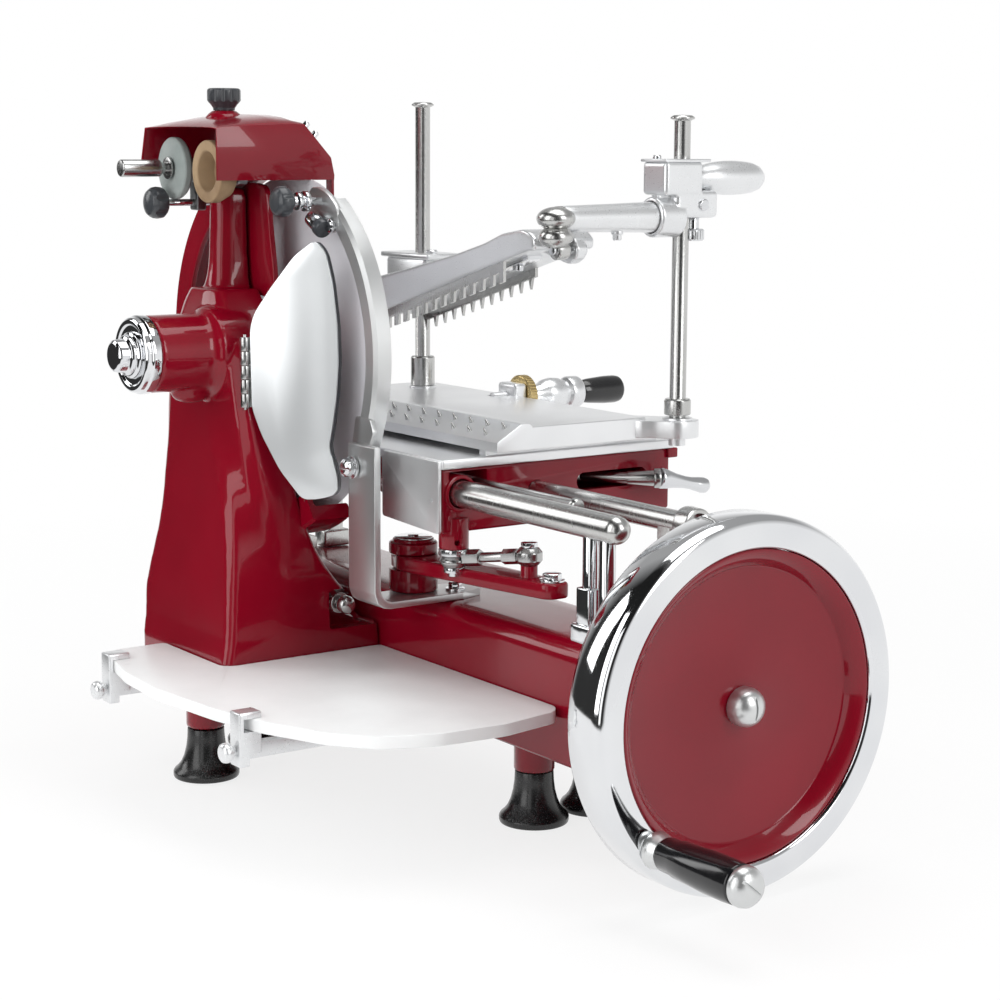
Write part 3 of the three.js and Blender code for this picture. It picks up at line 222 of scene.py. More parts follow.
def carved(bm, *cutters, mode="DIFFERENCE"):
    def add(obj, tools):
        for tool in tools:
            modifier = obj.modifiers.new("cut", "BOOLEAN")
            modifier.operation = mode
            modifier.solver = "EXACT"
            modifier.object = tool
    return evaluated(bm, add, cutters)


def fused(bm, *more):
    return carved(bm, *more, mode="UNION")


def cast(bm, voxel, rounds):  # a cast look: one skin with flat faces and small fillets everywhere
    def add(obj, tools):
        modifier = obj.modifiers.new("skin", "REMESH")
        modifier.mode = "VOXEL"
        modifier.voxel_size = voxel
        modifier = obj.modifiers.new("true_faces", "SHRINKWRAP")
        modifier.wrap_method = "NEAREST_SURFACEPOINT"
        modifier.target = tools[0]
    skin = evaluated(bm, add, [bm.copy()])
    for _ in range(rounds):
        bmesh.ops.smooth_vert(skin, verts=skin.verts, factor=0.5, use_axis_x=True, use_axis_y=True, use_axis_z=True)
    return skin


def piece(name, bm, material, body, replaced=(), sharp=38):
    bmesh.ops.remove_doubles(bm, verts=bm.verts, dist=0.0005)
    bmesh.ops.recalc_face_normals(bm, faces=bm.faces)
    bmesh.ops.transform(bm, matrix=toRow, verts=bm.verts)
    mesh = bpy.data.meshes.new(name)
    bm.to_mesh(mesh)
    bm.free()
    mesh.materials.append(material)
    mesh.polygons.foreach_set("use_smooth", [True] * len(mesh.polygons))
    mesh.set_sharp_from_angle(angle=math.radians(sharp))
    obj = bpy.data.objects.new(name, mesh)
    bpy.context.scene.collection.objects.link(obj)
    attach(obj, body)
    if replaced:
        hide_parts(*replaced)
    return obj


# Finishes
def shaderOf(name):
    material = bpy.data.materials.new(name)
    material.use_nodes = True
    tree = material.node_tree
    return material, tree, tree.nodes["Principled BSDF"]


def noise(tree, scale, detail, stretch=(1, 1, 1)):
    place = tree.nodes.new("ShaderNodeTexCoord")
    mapping = tree.nodes.new("ShaderNodeMapping")
    mapping.inputs["Scale"].default_value = stretch
    texture = tree.nodes.new("ShaderNodeTexNoise")
    texture.inputs["Scale"].default_value = scale
    texture.inputs["Detail"].default_value = detail
    tree.links.new(place.outputs["Object"], mapping.inputs["Vector"])
    tree.links.new(mapping.outputs["Vector"], texture.inputs["Vector"])
    return texture.outputs["Fac"]


def spread(tree, value, low, high, fromLow=0.3, fromHigh=0.7):
    rangeNode = tree.nodes.new("ShaderNodeMapRange")
    rangeNode.inputs["From Min"].default_value = fromLow
    rangeNode.inputs["From Max"].default_value = fromHigh
    rangeNode.inputs["To Min"].default_value = low
    rangeNode.inputs["To Max"].default_value = high
    tree.links.new(value, rangeNode.inputs["Value"])
    return rangeNode.outputs["Result"]


def twoTone(tree, value, first, second):
    ramp = tree.nodes.new("ShaderNodeValToRGB")
    for stop, place, colour in zip(ramp.color_ramp.elements, (0.35, 0.65), (first, second)):
        stop.position = place
        stop.color = (*colour, 1)
    tree.links.new(value, ramp.inputs["Fac"])
    return ramp.outputs["Color"]


def bumped(tree, shader, value, strength, distance):
    bump = tree.nodes.new("ShaderNodeBump")
    bump.inputs["Strength"].default_value = strength
    bump.inputs["Distance"].default_value = distance
    tree.links.new(value, bump.inputs["Height"])
    tree.links.new(bump.outputs["Normal"], shader.inputs["Normal"])


def metal(name, first, second, grain, grainStretch, rough, bump=0.02, anisotropic=0.0, metallic=1.0):
    material, tree, shader = shaderOf(name)
    shader.inputs["Metallic"].default_value = metallic
    shader.inputs["Anisotropic"].default_value = anisotropic
    lines = noise(tree, grain, 4, grainStretch)
    clouds = noise(tree, 14, 2)
    tree.links.new(twoTone(tree, clouds, first, second), shader.inputs["Base Color"])
    tree.links.new(spread(tree, lines, rough[0], rough[1]), shader.inputs["Roughness"])
    bumped(tree, shader, lines, bump, 0.0001)
    return material


def enamel(name, first, second, rough, peel):
    material, tree, shader = shaderOf(name)
    clouds = noise(tree, 9, 2)
    tree.links.new(twoTone(tree, clouds, first, second), shader.inputs["Base Color"])
    tree.links.new(spread(tree, noise(tree, 60, 3), rough[0], rough[1]), shader.inputs["Roughness"])
    shader.inputs["Coat Weight"].default_value = 0.6
    shader.inputs["Coat Roughness"].default_value = 0.025
    shader.inputs["Specular IOR Level"].default_value = 0.15
    bumped(tree, shader, noise(tree, peel, 1), 0.012, 0.0003)
    return material


def plastic(name, first, second, rough, grain, bump, coat=0.0):
    material, tree, shader = shaderOf(name)
    tree.links.new(twoTone(tree, noise(tree, 22, 3), first, second), shader.inputs["Base Color"])
    fine = noise(tree, grain, 4)
    tree.links.new(spread(tree, fine, rough[0], rough[1]), shader.inputs["Roughness"])
    shader.inputs["Coat Weight"].default_value = coat
    shader.inputs["Coat Roughness"].default_value = 0.08
    bumped(tree, shader, fine, bump, 0.0002)
    return material


bladeFinish = metal("turned_blade_steel", (0.76, 0.76, 0.80), (0.80, 0.80, 0.84), 500, (1, 1, 1), (0.40, 0.46), 0.01,
                    0.0, 0.35)
deflectorFinish = metal("satin_polished_sheet", (0.72, 0.74, 0.75), (0.76, 0.78, 0.79), 500, (1, 1, 1),
                        (0.3, 0.32), 0.004)
redEnamel = enamel("deep_red_enamel", (0.185, 0.0008, 0.009), (0.215, 0.0012, 0.011), (0.2, 0.24), 40)
redSheet = enamel("red_painted_sheet", (0.175, 0.0008, 0.008), (0.2, 0.001, 0.010), (0.2, 0.24), 50)
chrome = metal("bright_chrome", (0.74, 0.75, 0.77), (0.80, 0.81, 0.82), 320, (1, 1, 1), (0.05, 0.08), 0.004)
nickel = metal("satin_nickel", (0.54, 0.54, 0.53), (0.60, 0.60, 0.59), 420, (1, 1, 0.2), (0.24, 0.28), 0.006)
polished = metal("polished_steel", (0.68, 0.69, 0.71), (0.76, 0.77, 0.78), 420, (1, 1, 0.12), (0.13, 0.18), 0.01)
steel = metal("machined_steel", (0.46, 0.46, 0.455), (0.53, 0.53, 0.525), 700, (0.2, 1, 1), (0.2, 0.26), 0.012, 0.2)
brushed = metal("brushed_steel_sheet", (0.64, 0.65, 0.65), (0.69, 0.70, 0.70), 900, (1, 1, 0.1), (0.3, 0.34), 0.012,
                0.2, 0.9)
castAluminium = metal("cast_aluminium", (0.76, 0.77, 0.78), (0.81, 0.82, 0.83), 800, (1, 1, 1), (0.27, 0.31), 0.006,
                      0.0, 0.8)
darkCast = metal("grey_cast_iron", (0.20, 0.205, 0.21), (0.28, 0.285, 0.29), 600, (1, 1, 1), (0.35, 0.45), 0.05)
satinPlate = metal("satin_machined_plate", (0.80, 0.81, 0.82), (0.85, 0.86, 0.87), 700, (0.3, 1, 1), (0.30, 0.34),
                   0.006, 0.0, 0.8)
# Dark steel for the drive chain; the same finish also paints the shade of the gap along the deflector's edge.
darkSteelAndShade = metal("dark_steel_and_painted_shade", (0.10, 0.10, 0.11), (0.16, 0.16, 0.17), 500, (1, 1, 1), (0.3, 0.4), 0.03)
brass = metal("satin_brass", (0.60, 0.45, 0.20), (0.68, 0.54, 0.28), 500, (1, 0.2, 1), (0.22, 0.3), 0.03)
rubber = plastic("black_rubber", (0.006, 0.006, 0.006), (0.011, 0.011, 0.012), (0.22, 0.32), 500, 0.06, 0.15)
blackGrip = plastic("black_phenolic", (0.006, 0.006, 0.007), (0.010, 0.010, 0.011), (0.14, 0.2), 400, 0.03, 0.4)
greyKnob = plastic("charcoal_phenolic", (0.036, 0.040, 0.046), (0.042, 0.046, 0.052), (0.28, 0.32), 300, 0.01, 0.15)
whiteBoard = plastic("white_polyethylene", (0.80, 0.81, 0.81), (0.84, 0.85, 0.85), (0.3, 0.4), 300, 0.03)
greyGrit = plastic("grey_grit", (0.20, 0.235, 0.225), (0.32, 0.35, 0.34), (0.75, 0.95), 900, 0.6)
brownGrit = plastic("brown_grit", (0.20, 0.125, 0.065), (0.34, 0.235, 0.135), (0.75, 0.95), 900, 0.6)

for finish, shownNodes in (  # the CAD solids that no piece below replaces
    (steel, ("shaft_bearing_front", "shaft_bearing_rear", "cross_shaft", "blade_shaft")),
    (brass, ("shaft_bearing_main",)),
    (darkSteelAndShade, ("drive_chain",)),
):
    for nodeName in shownNodes:
        nodes[nodeName].data.materials.clear()
        nodes[nodeName].data.materials.append(finish)
print("finishes")

# Flywheel
wheel = {"at": (80, 138), "back": 484, "front": 526, "radius": 143, "rimInner": 118.5, "disc": 104}


def makeWheel():
    w = wheel
    front, back, outer, inner, disc = w["front"], w["back"], w["radius"], w["rimInner"], w["disc"]
    rim = spun([(inner, back + 8), (inner + 2, back + 3), (outer - 20, back + 0.5), (outer - 10, back + 0.5),
                (outer - 3, back + 3), (outer, back + 9), (outer, front - 9), (outer - 0.9, front - 4.6),
                (outer - 3.4, front - 1.4), (outer - 7, front), (inner + 2, front), (inner, front - 2),
                (inner, back + 8)], "x", w["at"], 256, 0.9)
    piece("wheel_rim_chrome", rim, chrome, "flywheel", ["flywheel_rim"], 50)
    dish = spun([(9.4, back - 26), (20, back - 26), (22, back - 22), (24, back + 3), (60, back + 4),
                 (inner - 0.4, back + 8), (inner - 0.4, front - 3), (inner - 2, front - 2.4), (disc + 8, front - 4.6),
                 (disc + 3, front - 9), (disc, front - 14), (disc - 1, front - 14.4), (12, front - 14.4),
                 (12, front - 10), (9.4, front - 10), (9.4, back - 26)], "x", w["at"], 192, 1.0)
    piece("wheel_dish_red", dish, redEnamel, "flywheel", ["flywheel_dish"], 50)
    shaft = spun([(0, 7), (6.7, 7), (11.2, 11.5), (11.2, 15.5), (9, 16.5), (9, front - 14), (13.6, front - 14),
                  (14.7, front - 12.6), (15, front - 8), (14.4, front - 4.4), (12.8, front - 1), (10, front + 1.8),
                  (6, front + 3.8), (2.6, front + 4.6), (0, front + 4.8)], "x", w["at"], 128)
    y, z = w["at"]
    slot = slab(front + 2.2, front + 12, y - 0.9, y + 0.9, z - 20, z + 20, 0)
    piece("main_shaft_nut", carved(shaft, slot), brushed, "flywheel", ["main_shaft"], 30)


makeWheel()
print("flywheel")

# Turning handle on the rim
handle = {"angle": 225, "reach": 127, "start": 526.3, "grip": 15.4}


def makeHandle():
    h = handle
    turn = math.radians(h["angle"])
    at = (wheel["at"][0] + h["reach"] * math.cos(turn), wheel["at"][1] + h["reach"] * math.sin(turn))
    s = h["start"]
    spindle = spun([(0, 0), (13.4, 0), (14, 1.5), (13, 6), (11, 10.6), (5.8, 11), (5.8, 92), (14, 92.3), (14.8, 93.6),
                    (14.9, 96), (14, 99.6), (11.4, 102.8), (7.6, 104.7), (3.6, 105.5), (0, 105.7)], "x", at, 96,
                   base=s)
    slot = slab(s + 103, s + 110, -1, 1, -22, 22, 0)
    tilt = Matrix.Translation((0, *at)) @ Matrix.Rotation(math.radians(50), 4, "X")
    bmesh.ops.transform(slot, matrix=tilt, verts=slot.verts)
    piece("handle_spindle_cap", carved(spindle, slot), brushed, "flywheel", ["handle_spindle"], 50)
    g = h["grip"]
    grip = spun([(6.4, 12), (11.6, 12), (12.6, 13), (13, 26), (13.8, 28), (g - 1, 44), (g, 60), (g, 80),
                 (g - 0.6, 90.6), (g - 1.6, 91.8), (6.4, 91.8), (6.4, 12)], "x", at, 96, 0.5, base=s)
    piece("handle_grip_turned", grip, blackGrip, "wheel_grip", ["handle_grip"], 60)


makeHandle()
print("handle")

# The round bosses above the rubber feet, shared by the bed and the column
foot = {"bottom": -10, "top": 35.3, "boss": 17}

# Bed casting
bed = {"x": (-136, 418), "y": (45.2, 150), "bottom": 57, "top": 158, "wall": 8, "corner": 20,
       "feet": ((275, 66), (275, 129))}


def makeBed():
    b = bed
    (x0, x1), (y0, y1), low, top = b["x"], b["y"], b["bottom"], b["top"]
    r = b["corner"]
    shell = lofted(boxRows([(low, x0 + 1, x1 - 4, y0 + 1, y1, 16), (low + 1.5, x0, x1 - 3, y0, y1, 17),
                            (low + 6, x0, x1, y0, y1, r), (top - 17, x0, x1, y0, y1, r),
                            (top - 13, x0 + 0.4, x1 - 0.5, y0 + 0.3, y1 - 0.5, r),
                            (top - 9, x0 + 1.5, x1 - 2, y0 + 1.4, y1 - 2, r),
                            (top - 5, x0 + 4, x1 - 5, y0 + 4.2, y1 - 5, r),
                            (top - 2, x0 + 7.5, x1 - 9, y0 + 8.4, y1 - 9.5, r),
                            (top - 0.6, x0 + 11, x1 - 13, y0 + 12.5, y1 - 13.5, r),
                            (top, x0 + 15, x1 - 17, y0 + 17, y1 - 18, r)]), 8)
    w = b["wall"]
    inside = slab(x0 + w, x1 - w, y0 + w, y1 - w, low - 9, top - w, 6)
    shell = carved(shell, inside)
    boss = spun([(10, x1 - w - 4), (16, x1 - w - 4), (17, x1 - 4), (17, x1 + 9), (16, x1 + 10), (13.2, x1 + 10),
                 (13.2, x1 - w - 4), (10, x1 - w - 4)], "x", wheel["at"], 64, 0.5)
    parts = [slab(x - 19, x + 19, ya, yb, low + 0.2, low + 12, 2)
             for (x, _), (ya, yb) in zip(b["feet"], ((y0 + 2, 84), (112, y1 - 2)))]
    parts += [rodAlong("z", at, foot["top"], low + 12, foot["boss"], sides=64, edge=1.5) for at in b["feet"]]
    shell = carved(shell, rodAlong("x", wheel["at"], x1 - 30, x1 + 20, 15, edge=0))
    shell = fused(shell, *parts)
    piece("bed_casting_shell", together(shell, boss), redEnamel, "frame", ["bed_casting"], 32)


makeBed()
print("bed")

# Column casting: pedestal, ridged body, neck and the barrel for the blade shaft
column = {"voxel": 1.95, "rounds": 3, "barrel": 33, "barrelEnd": -145, "back": -36, "feet": ((5, -96), (-66, -4)),
          "socket": (-34, -48), "socketBore": 8.3}


def columnRow(z, front, ridge, back, left, cuts):  # corners (x, y) on the right; left gives the x of those on the left
    right = [Vector(v) for v in (front, ridge, back)]
    if not isinstance(left, tuple):
        left = tuple(2 * left - v.x for v in right)
    other = [Vector((x, v.y)) for x, v in zip(left, right)]
    ring = []
    for side in (right, other):
        way = [side[0].lerp((right if side is other else other)[0], 0.5), *side]
        cut = []
        for i, size in ((1, cuts[0]), (2, cuts[1])):  # each corner becomes a narrow flat band
            for near in (way[i - 1], way[i + 1]):
                step = near - way[i]
                cut.append(way[i] + step.normalized() * min(size, step.length * 0.45))
        cut.append(way[3])
        ring += cut if side is right else cut[::-1]
    return (z, [tuple(v) for v in ring], 1.2)


def makeColumn():
    c = column
    back = c["back"]
    plinth = ((57, (68, -108), (68, -60), (68, 44.8), -11, (6, 4)),
              (61, (70, -110), (70, -60), (70, 44.8), -11, (6, 4)),
              (103, (70, -110), (70, -60), (70, 44.8), -11, (6, 4)),
              (106, (69.6, -109.6), (70, -60), (70, 44.8), -12, (6, 4)),
              (123, (67.6, -106), (70, -56), (70, 43), -14, (6, 4)))
    trunk = ((122, (67.7, -106), (70, -56), (70, 43), (-96, -98, -98), (6, 4)),
             (146, (66, -104), (69, -54), (69, 20), (-98, -101, -101), (6, 4)),
             (163, (64, -102.6), (68.6, -53), (68.6, 4), (-94, -99, -99), (6, 5)),
             (185, (61, -100.6), (68, -54), (68, -12), (-87, -95, -95), (6, 5)),
             (204, (57.5, -99), (67, -58), (67.4, -22), (-80.5, -91.6, -91.6), (6, 6)),
             (220, (52, -97.4), (66, -63), (66.6, -28), (-77.4, -89.6, -89.6), (6, 6)),
             (234, (47, -96), (65, -68), (65.6, -33), (-75.6, -87.6, -87.6), (6, 6)),
             (256, (37, -93.8), (62.5, -75), (62.5, back), (-74, -84, -84), (5, 7)),
             (283, (22, -91), (60, -81), (59.5, back), (-73, -80, -80), (5, 8)),
             (312, (4, -89.5), (57, -85), (55.5, back), (-71, -76, -76), (5, 8)),
             (340, (-2, -88.5), (51, -86), (49, back), (-67, -71, -71), (4, 8)),
             (362, (-4, -88), (45, -85), (43, back), (-62, -67, -67), (4, 8)),
             (376, (-6, -87.5), (38, -84), (38, back), (-58, -64, -64), (4, 8)),
             (388, (-8, -86), (29, -82), (31, back), (-55, -61, -61), (4, 7)),
             (398, (-10, -84), (18, -80), (22, back), (-52, -58, -58), (4, 6)),
             (408, (-12, -81), (8, -77), (12, back), (-50, -56, -56), (4, 5)),
             (418, (-16, -77), (-1, -71), (2, back), (-48, -54, -54), (4, 4)))
    top = ((398, (-18, -80), (-3, -66), (-1, back), -30, (3, 3)),
           (420, (-23, -68), (-14, -59), (-12, back), -32, (4, 4)),
           (440, (-25, -64), (-18, -56), (-15, back), -32.5, (4, 4)),
           (480, (-26, -62), (-19, -54), (-17, back), -33, (4, 4)),
           (499, (-26.5, -61), (-20, -53), (-17.5, back), -33.5, (4, 4)),
           (505, (-28, -58), (-22, -52), (-20, back - 3), -34, (3, 3)))
    low = lofted([columnRow(*row) for row in plinth], 2)
    body, neck = (lofted(between([columnRow(*row) for row in rows]), 2) for rows in (trunk, top))
    e, r = c["barrelEnd"], c["barrel"]
    barrel = spun([(0, e), (r - 2, e), (r, e + 1), (r, -98), (r + 1.5, -93), (r + 5, -89), (r + 5, -60), (0, -60)],
                  "y", (0, bladeZ), 96)
    bulge = ball((2, -103, bladeZ - 34), 11, (1.1, 1.7, 0.9))
    bosses = [rodAlong("z", at, foot["top"], 69, foot["boss"], sides=64, edge=0) for at in c["feet"]]
    webs = [slab(-14, 24, -107, -70, 57.5, 69, 0), slab(-90, -45, -23, 15, 57.5, 69, 0)]
    hollow = lofted(boxRows([(50, -80, 58, -98, 35, 6), (124, -80, 58, -98, 35, 6), (150, -78, 56, -95, 10, 8),
                             (176, -76, 54, -93, -30, 8)]))
    hollowTop = lofted(boxRows([(170, -66, 50, -88, -46, 8), (260, -50, 40, -78, -46, 8),
                                (320, -34, 26, -72, -46, 6), (350, -22, 22, -68, -46, 5),
                                (390, -21, 21, -66, -46, 5)]))
    solid = carved(fused(low, body, neck, barrel, bulge), hollow, hollowTop)
    skin = cast(together(solid, *bosses, *webs), c["voxel"], c["rounds"])
    pocket = slab(40, 90, -7, 40, 123, 158, 3)
    bore = rodAlong("y", (0, bladeZ), -60, -20, 15, sides=64, edge=0)
    seat = rodAlong("y", (0, bladeZ), e - 5, -60, 22, sides=64, edge=0)
    socket = rodAlong("z", c["socket"], 445, 520, c["socketBore"], edge=0)
    piece("column_casting_skin", carved(skin, pocket, bore, seat, socket), redEnamel, "frame", ["column_casting"],
          45)
    pin = spun([(0, 60), (3.5, 60), (3.5, 72), (9, 72), (9, 75), (4, 75), (4, 79), (7.4, 80), (8, 82.5), (8, 86),
                (6.6, 89), (3.5, 90.6), (0, 91)], "x", (1, 147), 64, 0.4)
    piece("column_latch_pin", pin, steel, "frame", ())


makeColumn()
print("column")


def makeFeet():
    z = foot["bottom"]
    for index, at in enumerate(column["feet"] + bed["feet"], 1):
        profile = [(0, z), (26, z), (28.4, z + 0.8), (29, z + 2.6), (29, z + 5.6), (27.8, z + 7.6), (25, z + 10),
                   (22, z + 14), (19.4, z + 20), (17.4, z + 28), (16.4, z + 36), (16, z + 44.7), (0, z + 44.7)]
        piece(f"foot_{index}_rubber", spun(profile, "z", at, 72, 0.5), rubber, "frame", [f"rubber_foot_{index}"],
              40)


makeFeet()
print("feet")

# Slice tray and its two clamps
tray = {"z": (94, 104), "clamps": ((-10, -182, -111), (226, -184, 44.8)),
        "edge": ((-40, -160), (-28, -173), (40, -189), (107, -193), (190, -184), (243, -172), (300, -148),
                 (332, -122), (351, -78), (356, -20), (346, 34), (334, 43.5), (72, 43.5), (72, -104), (66, -112),
                 (-40, -112))}


def makeTray():
    t = tray
    low, high = t["z"]
    piece("slice_tray_board", flat(t["edge"], "z", low, high, 9, 3, 8, 5), whiteBoard, "frame", ["slice_tray"],
          50)
    for index, (x, y0, y1) in enumerate(t["clamps"], 1):
        jaw = carved(slab(x - 8, x + 8, y0 - 2, y0 + 18, low - 28, high + 5.3, 1.5),
                     slab(x - 9, x + 9, y0 + 2, y0 + 30, low - 0.3, high + 0.3, 0),
                     slab(x - 9, x + 9, y0 + 7, y0 + 30, low - 40, low - 18, 0.8))
        bar = slab(x - 4, x + 4, y0 + 4, y1, low - 23, low - 10, 1)
        bridge = slab(x - 5, x + 5, y1 - 30, y1, low - 18, low - 0.3, 1)
        z = low - 16
        screw = spun([(0, -14), (5.5, -14), (7.4, -12.6), (8, -10.5), (8, -8.5), (7.4, -6.6), (5, -6), (5, -4),
                      (3.6, -4), (3.6, 1), (0, 1)], "y", (x, z), 48, 0.3, base=y0)
        grip = spun([(0, 1), (4.4, 1), (4.4, 6), (0, 6)], "y", (x, z - 1), 6, 0.2, base=y0)
        piece(f"tray_clamp_{index}_body", together(fused(jaw, bar, bridge), screw, grip), castAluminium, "frame",
              [f"tray_clamp_{index}"])


makeTray()
print("tray")

# Guides for the carriage
guide = {"rod": (30, 260.5), "rodRadius": 11, "rail": (108, 256), "railRadius": 9, "x": (-132, 424),
         "posts": (-118, 395), "deck": 158.3, "post": 6.4, "second": 20}


def guideFoot(x):  # a bent arm on the deck, a square base and two round posts under the rod
    g = guide
    d, y = g["deck"], g["rod"][0]
    arm = flat(((19, 170), (50, d), (85.2, d), (85.2, d + 12), (44, 184), (19, 184)), "x", x - 11, x + 11, 2.2, 1)
    side = 1 if x > 0 else -1
    reach = flat(((19, 172), (41, 172), (41, 184), (19, 184)), "x", *sorted((x, x + side * 30)), 2.2, 1)
    base = slab(x - 8, x + 8, y - 8, y + 8, 178, 212, 1.2)
    posts = [rodAlong("z", (px, y), 180, 256, g["post"], sides=64, edge=0.4) for px in (x, x + side * g["second"])]
    bolt = spun([(0, 12), (6.5, 12), (6.5, 13.2), (0, 13.2)], "z", (x, 74), 32, base=d)
    head = spun([(0, 13), (4.6, 13), (4.6, 17.4), (3.4, 18), (0, 18)], "z", (x, 74), 6, 0.3, base=d)
    return together(fused(arm, reach, base, *posts), bolt, head)


def makeGuides():
    g = guide
    (x0, x1), r = g["x"], g["rodRadius"]
    rodBar = spun([(0, x0), (r - 1, x0), (r, x0 + 1), (r, x1 + 1)] +
                  [(r * math.cos(a), x1 + 1 + r * math.sin(a)) for a in (math.radians(9 * i) for i in range(1, 10))] +
                  [(0, x1 + 1 + r)], "x", g["rod"], 96)
    piece("guide_rod_bar", together(rodBar, guideFoot(g["posts"][0])), nickel, "frame", ["guide_rod"])
    piece("guide_post_stand", guideFoot(g["posts"][1]), chrome, "frame", ["guide_post"])
    r = g["railRadius"]
    rail = spun([(0, x0), (r - 1, x0), (r, x0 + 1), (r, x1 - 12), (14, x1 - 11), (14.4, x1 - 8), (14, x1 + 3),
                 (12.6, x1 + 4), (10.4, x1 + 4), (9.6, x1 + 2), (9, x1 - 4), (0, x1 - 4)], "x", g["rail"], 96)
    stands = []
    for x in g["posts"]:
        stands += [slab(x - 10, x + 10, 94, 122, g["deck"], g["deck"] + 16, 2),
                   slab(x - 8, x + 8, 100, 116, g["deck"] + 10, 256, 1.5)]
    piece("rear_rail_bar", fused(rail, *stands), nickel, "frame", ["rear_rail"])


makeGuides()
print("guides")

# Guard bracket and silver ring guard on the cutting side
bracket = {"x": (124, 166), "stud": (134, 276)}
ring = {"inner": 141, "outer": 157, "arc": (-36, 57), "front": -13.5, "ear": (70, 495)}


def arcPoints(radius, start, end, count):
    return [(radius * math.cos(math.radians(start + (end - start) * i / count)),
             bladeZ + radius * math.sin(math.radians(start + (end - start) * i / count))) for i in range(count + 1)]


def hexBolt(axis, at, low, high, radius, washer):
    head = spun([(0, low), (radius, low), (radius, high - 0.8), (radius - 1, high), (0, high)], axis, at, 6, 0.25)
    disc = spun([(0, -1.6), (washer, -1.6), (washer, 0), (0, 0)], axis, at, 32, 0.2, base=low)
    return together(head, disc)


def makeBracket():
    b = bracket
    x0, x1 = b["x"]
    d = guide["deck"]
    bar = flat(((-20, 296), (-20, 172), (-17, 163.5), (-11, 159.4), (-4, d), (96, d), (96, d + 6), (-3, d + 6),
                (-9, 166.5), (-12.4, 170), (-14, 175), (-14, 296)), "x", x0, x1, 1.6, 0.7, 4, 3)
    trim = flat(((x0 - 3, 60), (x0 - 3, 200), (x1 + 3, 200), (x1 + 3, 60), (x1 - 8, 92), (x0 + 8, 92)), "z", 150, 175)
    hole = rodAlong("y", b["stud"], -30, 0, 4.4, edge=0)
    piece("guard_bracket_bar", carved(bar, trim, hole), brushed, "frame", ["guard_bracket"])
    bolts = [hexBolt("z", (x, y), d + 7.6, d + 13, 6, 8.5) for x, y in ((131, 34), (152, 70))]
    piece("guard_bracket_bolts", together(*bolts), chrome, "frame", ())


def makeRing():
    g = ring
    inner, outer, front = g["inner"], g["outer"], g["front"]
    start, end = g["arc"]
    band = spun([(inner, front + 4), (inner, front + 1), (inner + 1, front), (outer - 3, front), (outer, front + 3),
                 (outer, 2.4), (outer - 0.6, 3), (outer - 3.2, 3), (outer - 3.8, 2.4), (outer - 3.8, front + 5.4),
                 (outer - 4.6, front + 4.5), (inner + 0.6, front + 4.5), (inner, front + 4)], "y", (0, bladeZ), 90,
                start=start, sweep=end - start)
    x, z = bracket["stud"]
    tab = flat(((x - 12, z + 26), (x - 16, z + 8), (x - 16, z - 12), (x - 10, z - 20), (x + 8, z - 21),
                (x + 12, z - 16), (x + 12, z + 16), (x + 20, z + 30), (x + 14, z + 42), (x - 8, z + 42)), "y",
               front - 0.2, front + 4.8, 4, 0.6)
    ex, ez = g["ear"]
    ear = flat(((ex - 20, ez - 10), (ex - 19, ez + 9), (ex - 8, ez + 12.6), (ex + 12, ez + 7), (ex + 27, ez - 4),
                (ex + 32, ez - 20), (ex + 18, ez - 27), (ex + 2, ez - 26)), "y", front - 0.2, front + 4.8, 6, 0.6)
    hole = rodAlong("y", (ex, ez), front - 5, front + 9, 3.4, edge=0)
    piece("ring_guard_band", carved(fused(band, tab, ear), hole), brushed, "frame", ["ring_guard"], 30)
    stud = spun([(0, -18.4), (5, -18.4), (7.4, -16.4), (7.8, -14), (7.8, -12.4), (6.5, -11), (6.5, -10), (9.6, -10),
                 (9.6, -8), (8.6, -7), (4, -6.8), (4, 1), (0, 1)], "y", (x, z), 48, 0.3, base=front)
    slot = slab(x - 12, x + 12, front - 22, front - 16, z - 1.2, z + 1.2, 0)
    piece("ring_guard_stud", carved(stud, slot), polished, "frame", ())
    small = spun([(0, -6), (4.6, -6), (6, -4.6), (6, -2.4), (4.4, -1), (4, 0.2), (0, 0.2)], "y", (ex + 22, ez - 20),
                 40, 0.3, base=front)
    slit = slab(ex + 10, ex + 34, front - 8, front - 4.4, ez - 20.8, ez - 19.2, 0)
    piece("ring_guard_screw", carved(small, slit), chrome, "frame", ())
    knob = spun([(0, -58), (8, -58), (11.6, -56), (13, -52), (13, -48), (11.4, -44.6), (8, -43), (6, -42),
                 (5.6, -40), (0, -40)], "y", (ex, ez), 64, 0.5)
    lobes = [rodAlong("y", at, -60, -40, 3.4, edge=0) for at in circle((ex, ez), 15.4, 6, 20)]
    piece("guard_knob_lobed", carved(knob, *lobes), greyKnob, "frame", ["guard_knob"], 30)
    collar = spun([(0, -40), (4.4, -40), (4.4, -37), (7.6, -36.6), (7.6, -33), (5, -32.6), (5, -30), (8.6, -29.6),
                   (8.6, -26), (4, -25), (4, front), (0, front)], "y", (ex, ez), 48, 0.3)
    piece("guard_knob_collar", collar, chrome, "frame", ())
    y = front - 6
    catch = rod((ex - 4, y, ez - 14), (ex + 9, y, ez - 20), 7, sides=40, edge=1)
    piece("guard_catch_pin", catch, polished, "frame", ())
    cap = rod((ex + 8.6, y, ez - 19.8), (ex + 16.6, y, ez - 23.6), 8.2, sides=40, edge=2)
    piece("guard_catch_cap", cap, greyKnob, "frame", ())


makeBracket()
makeRing()
print("guards")

# Red blade guard behind and below the blade
guard = {"inner": 153, "outer": 166, "arc": (108, 302), "front": -33, "back": 5}


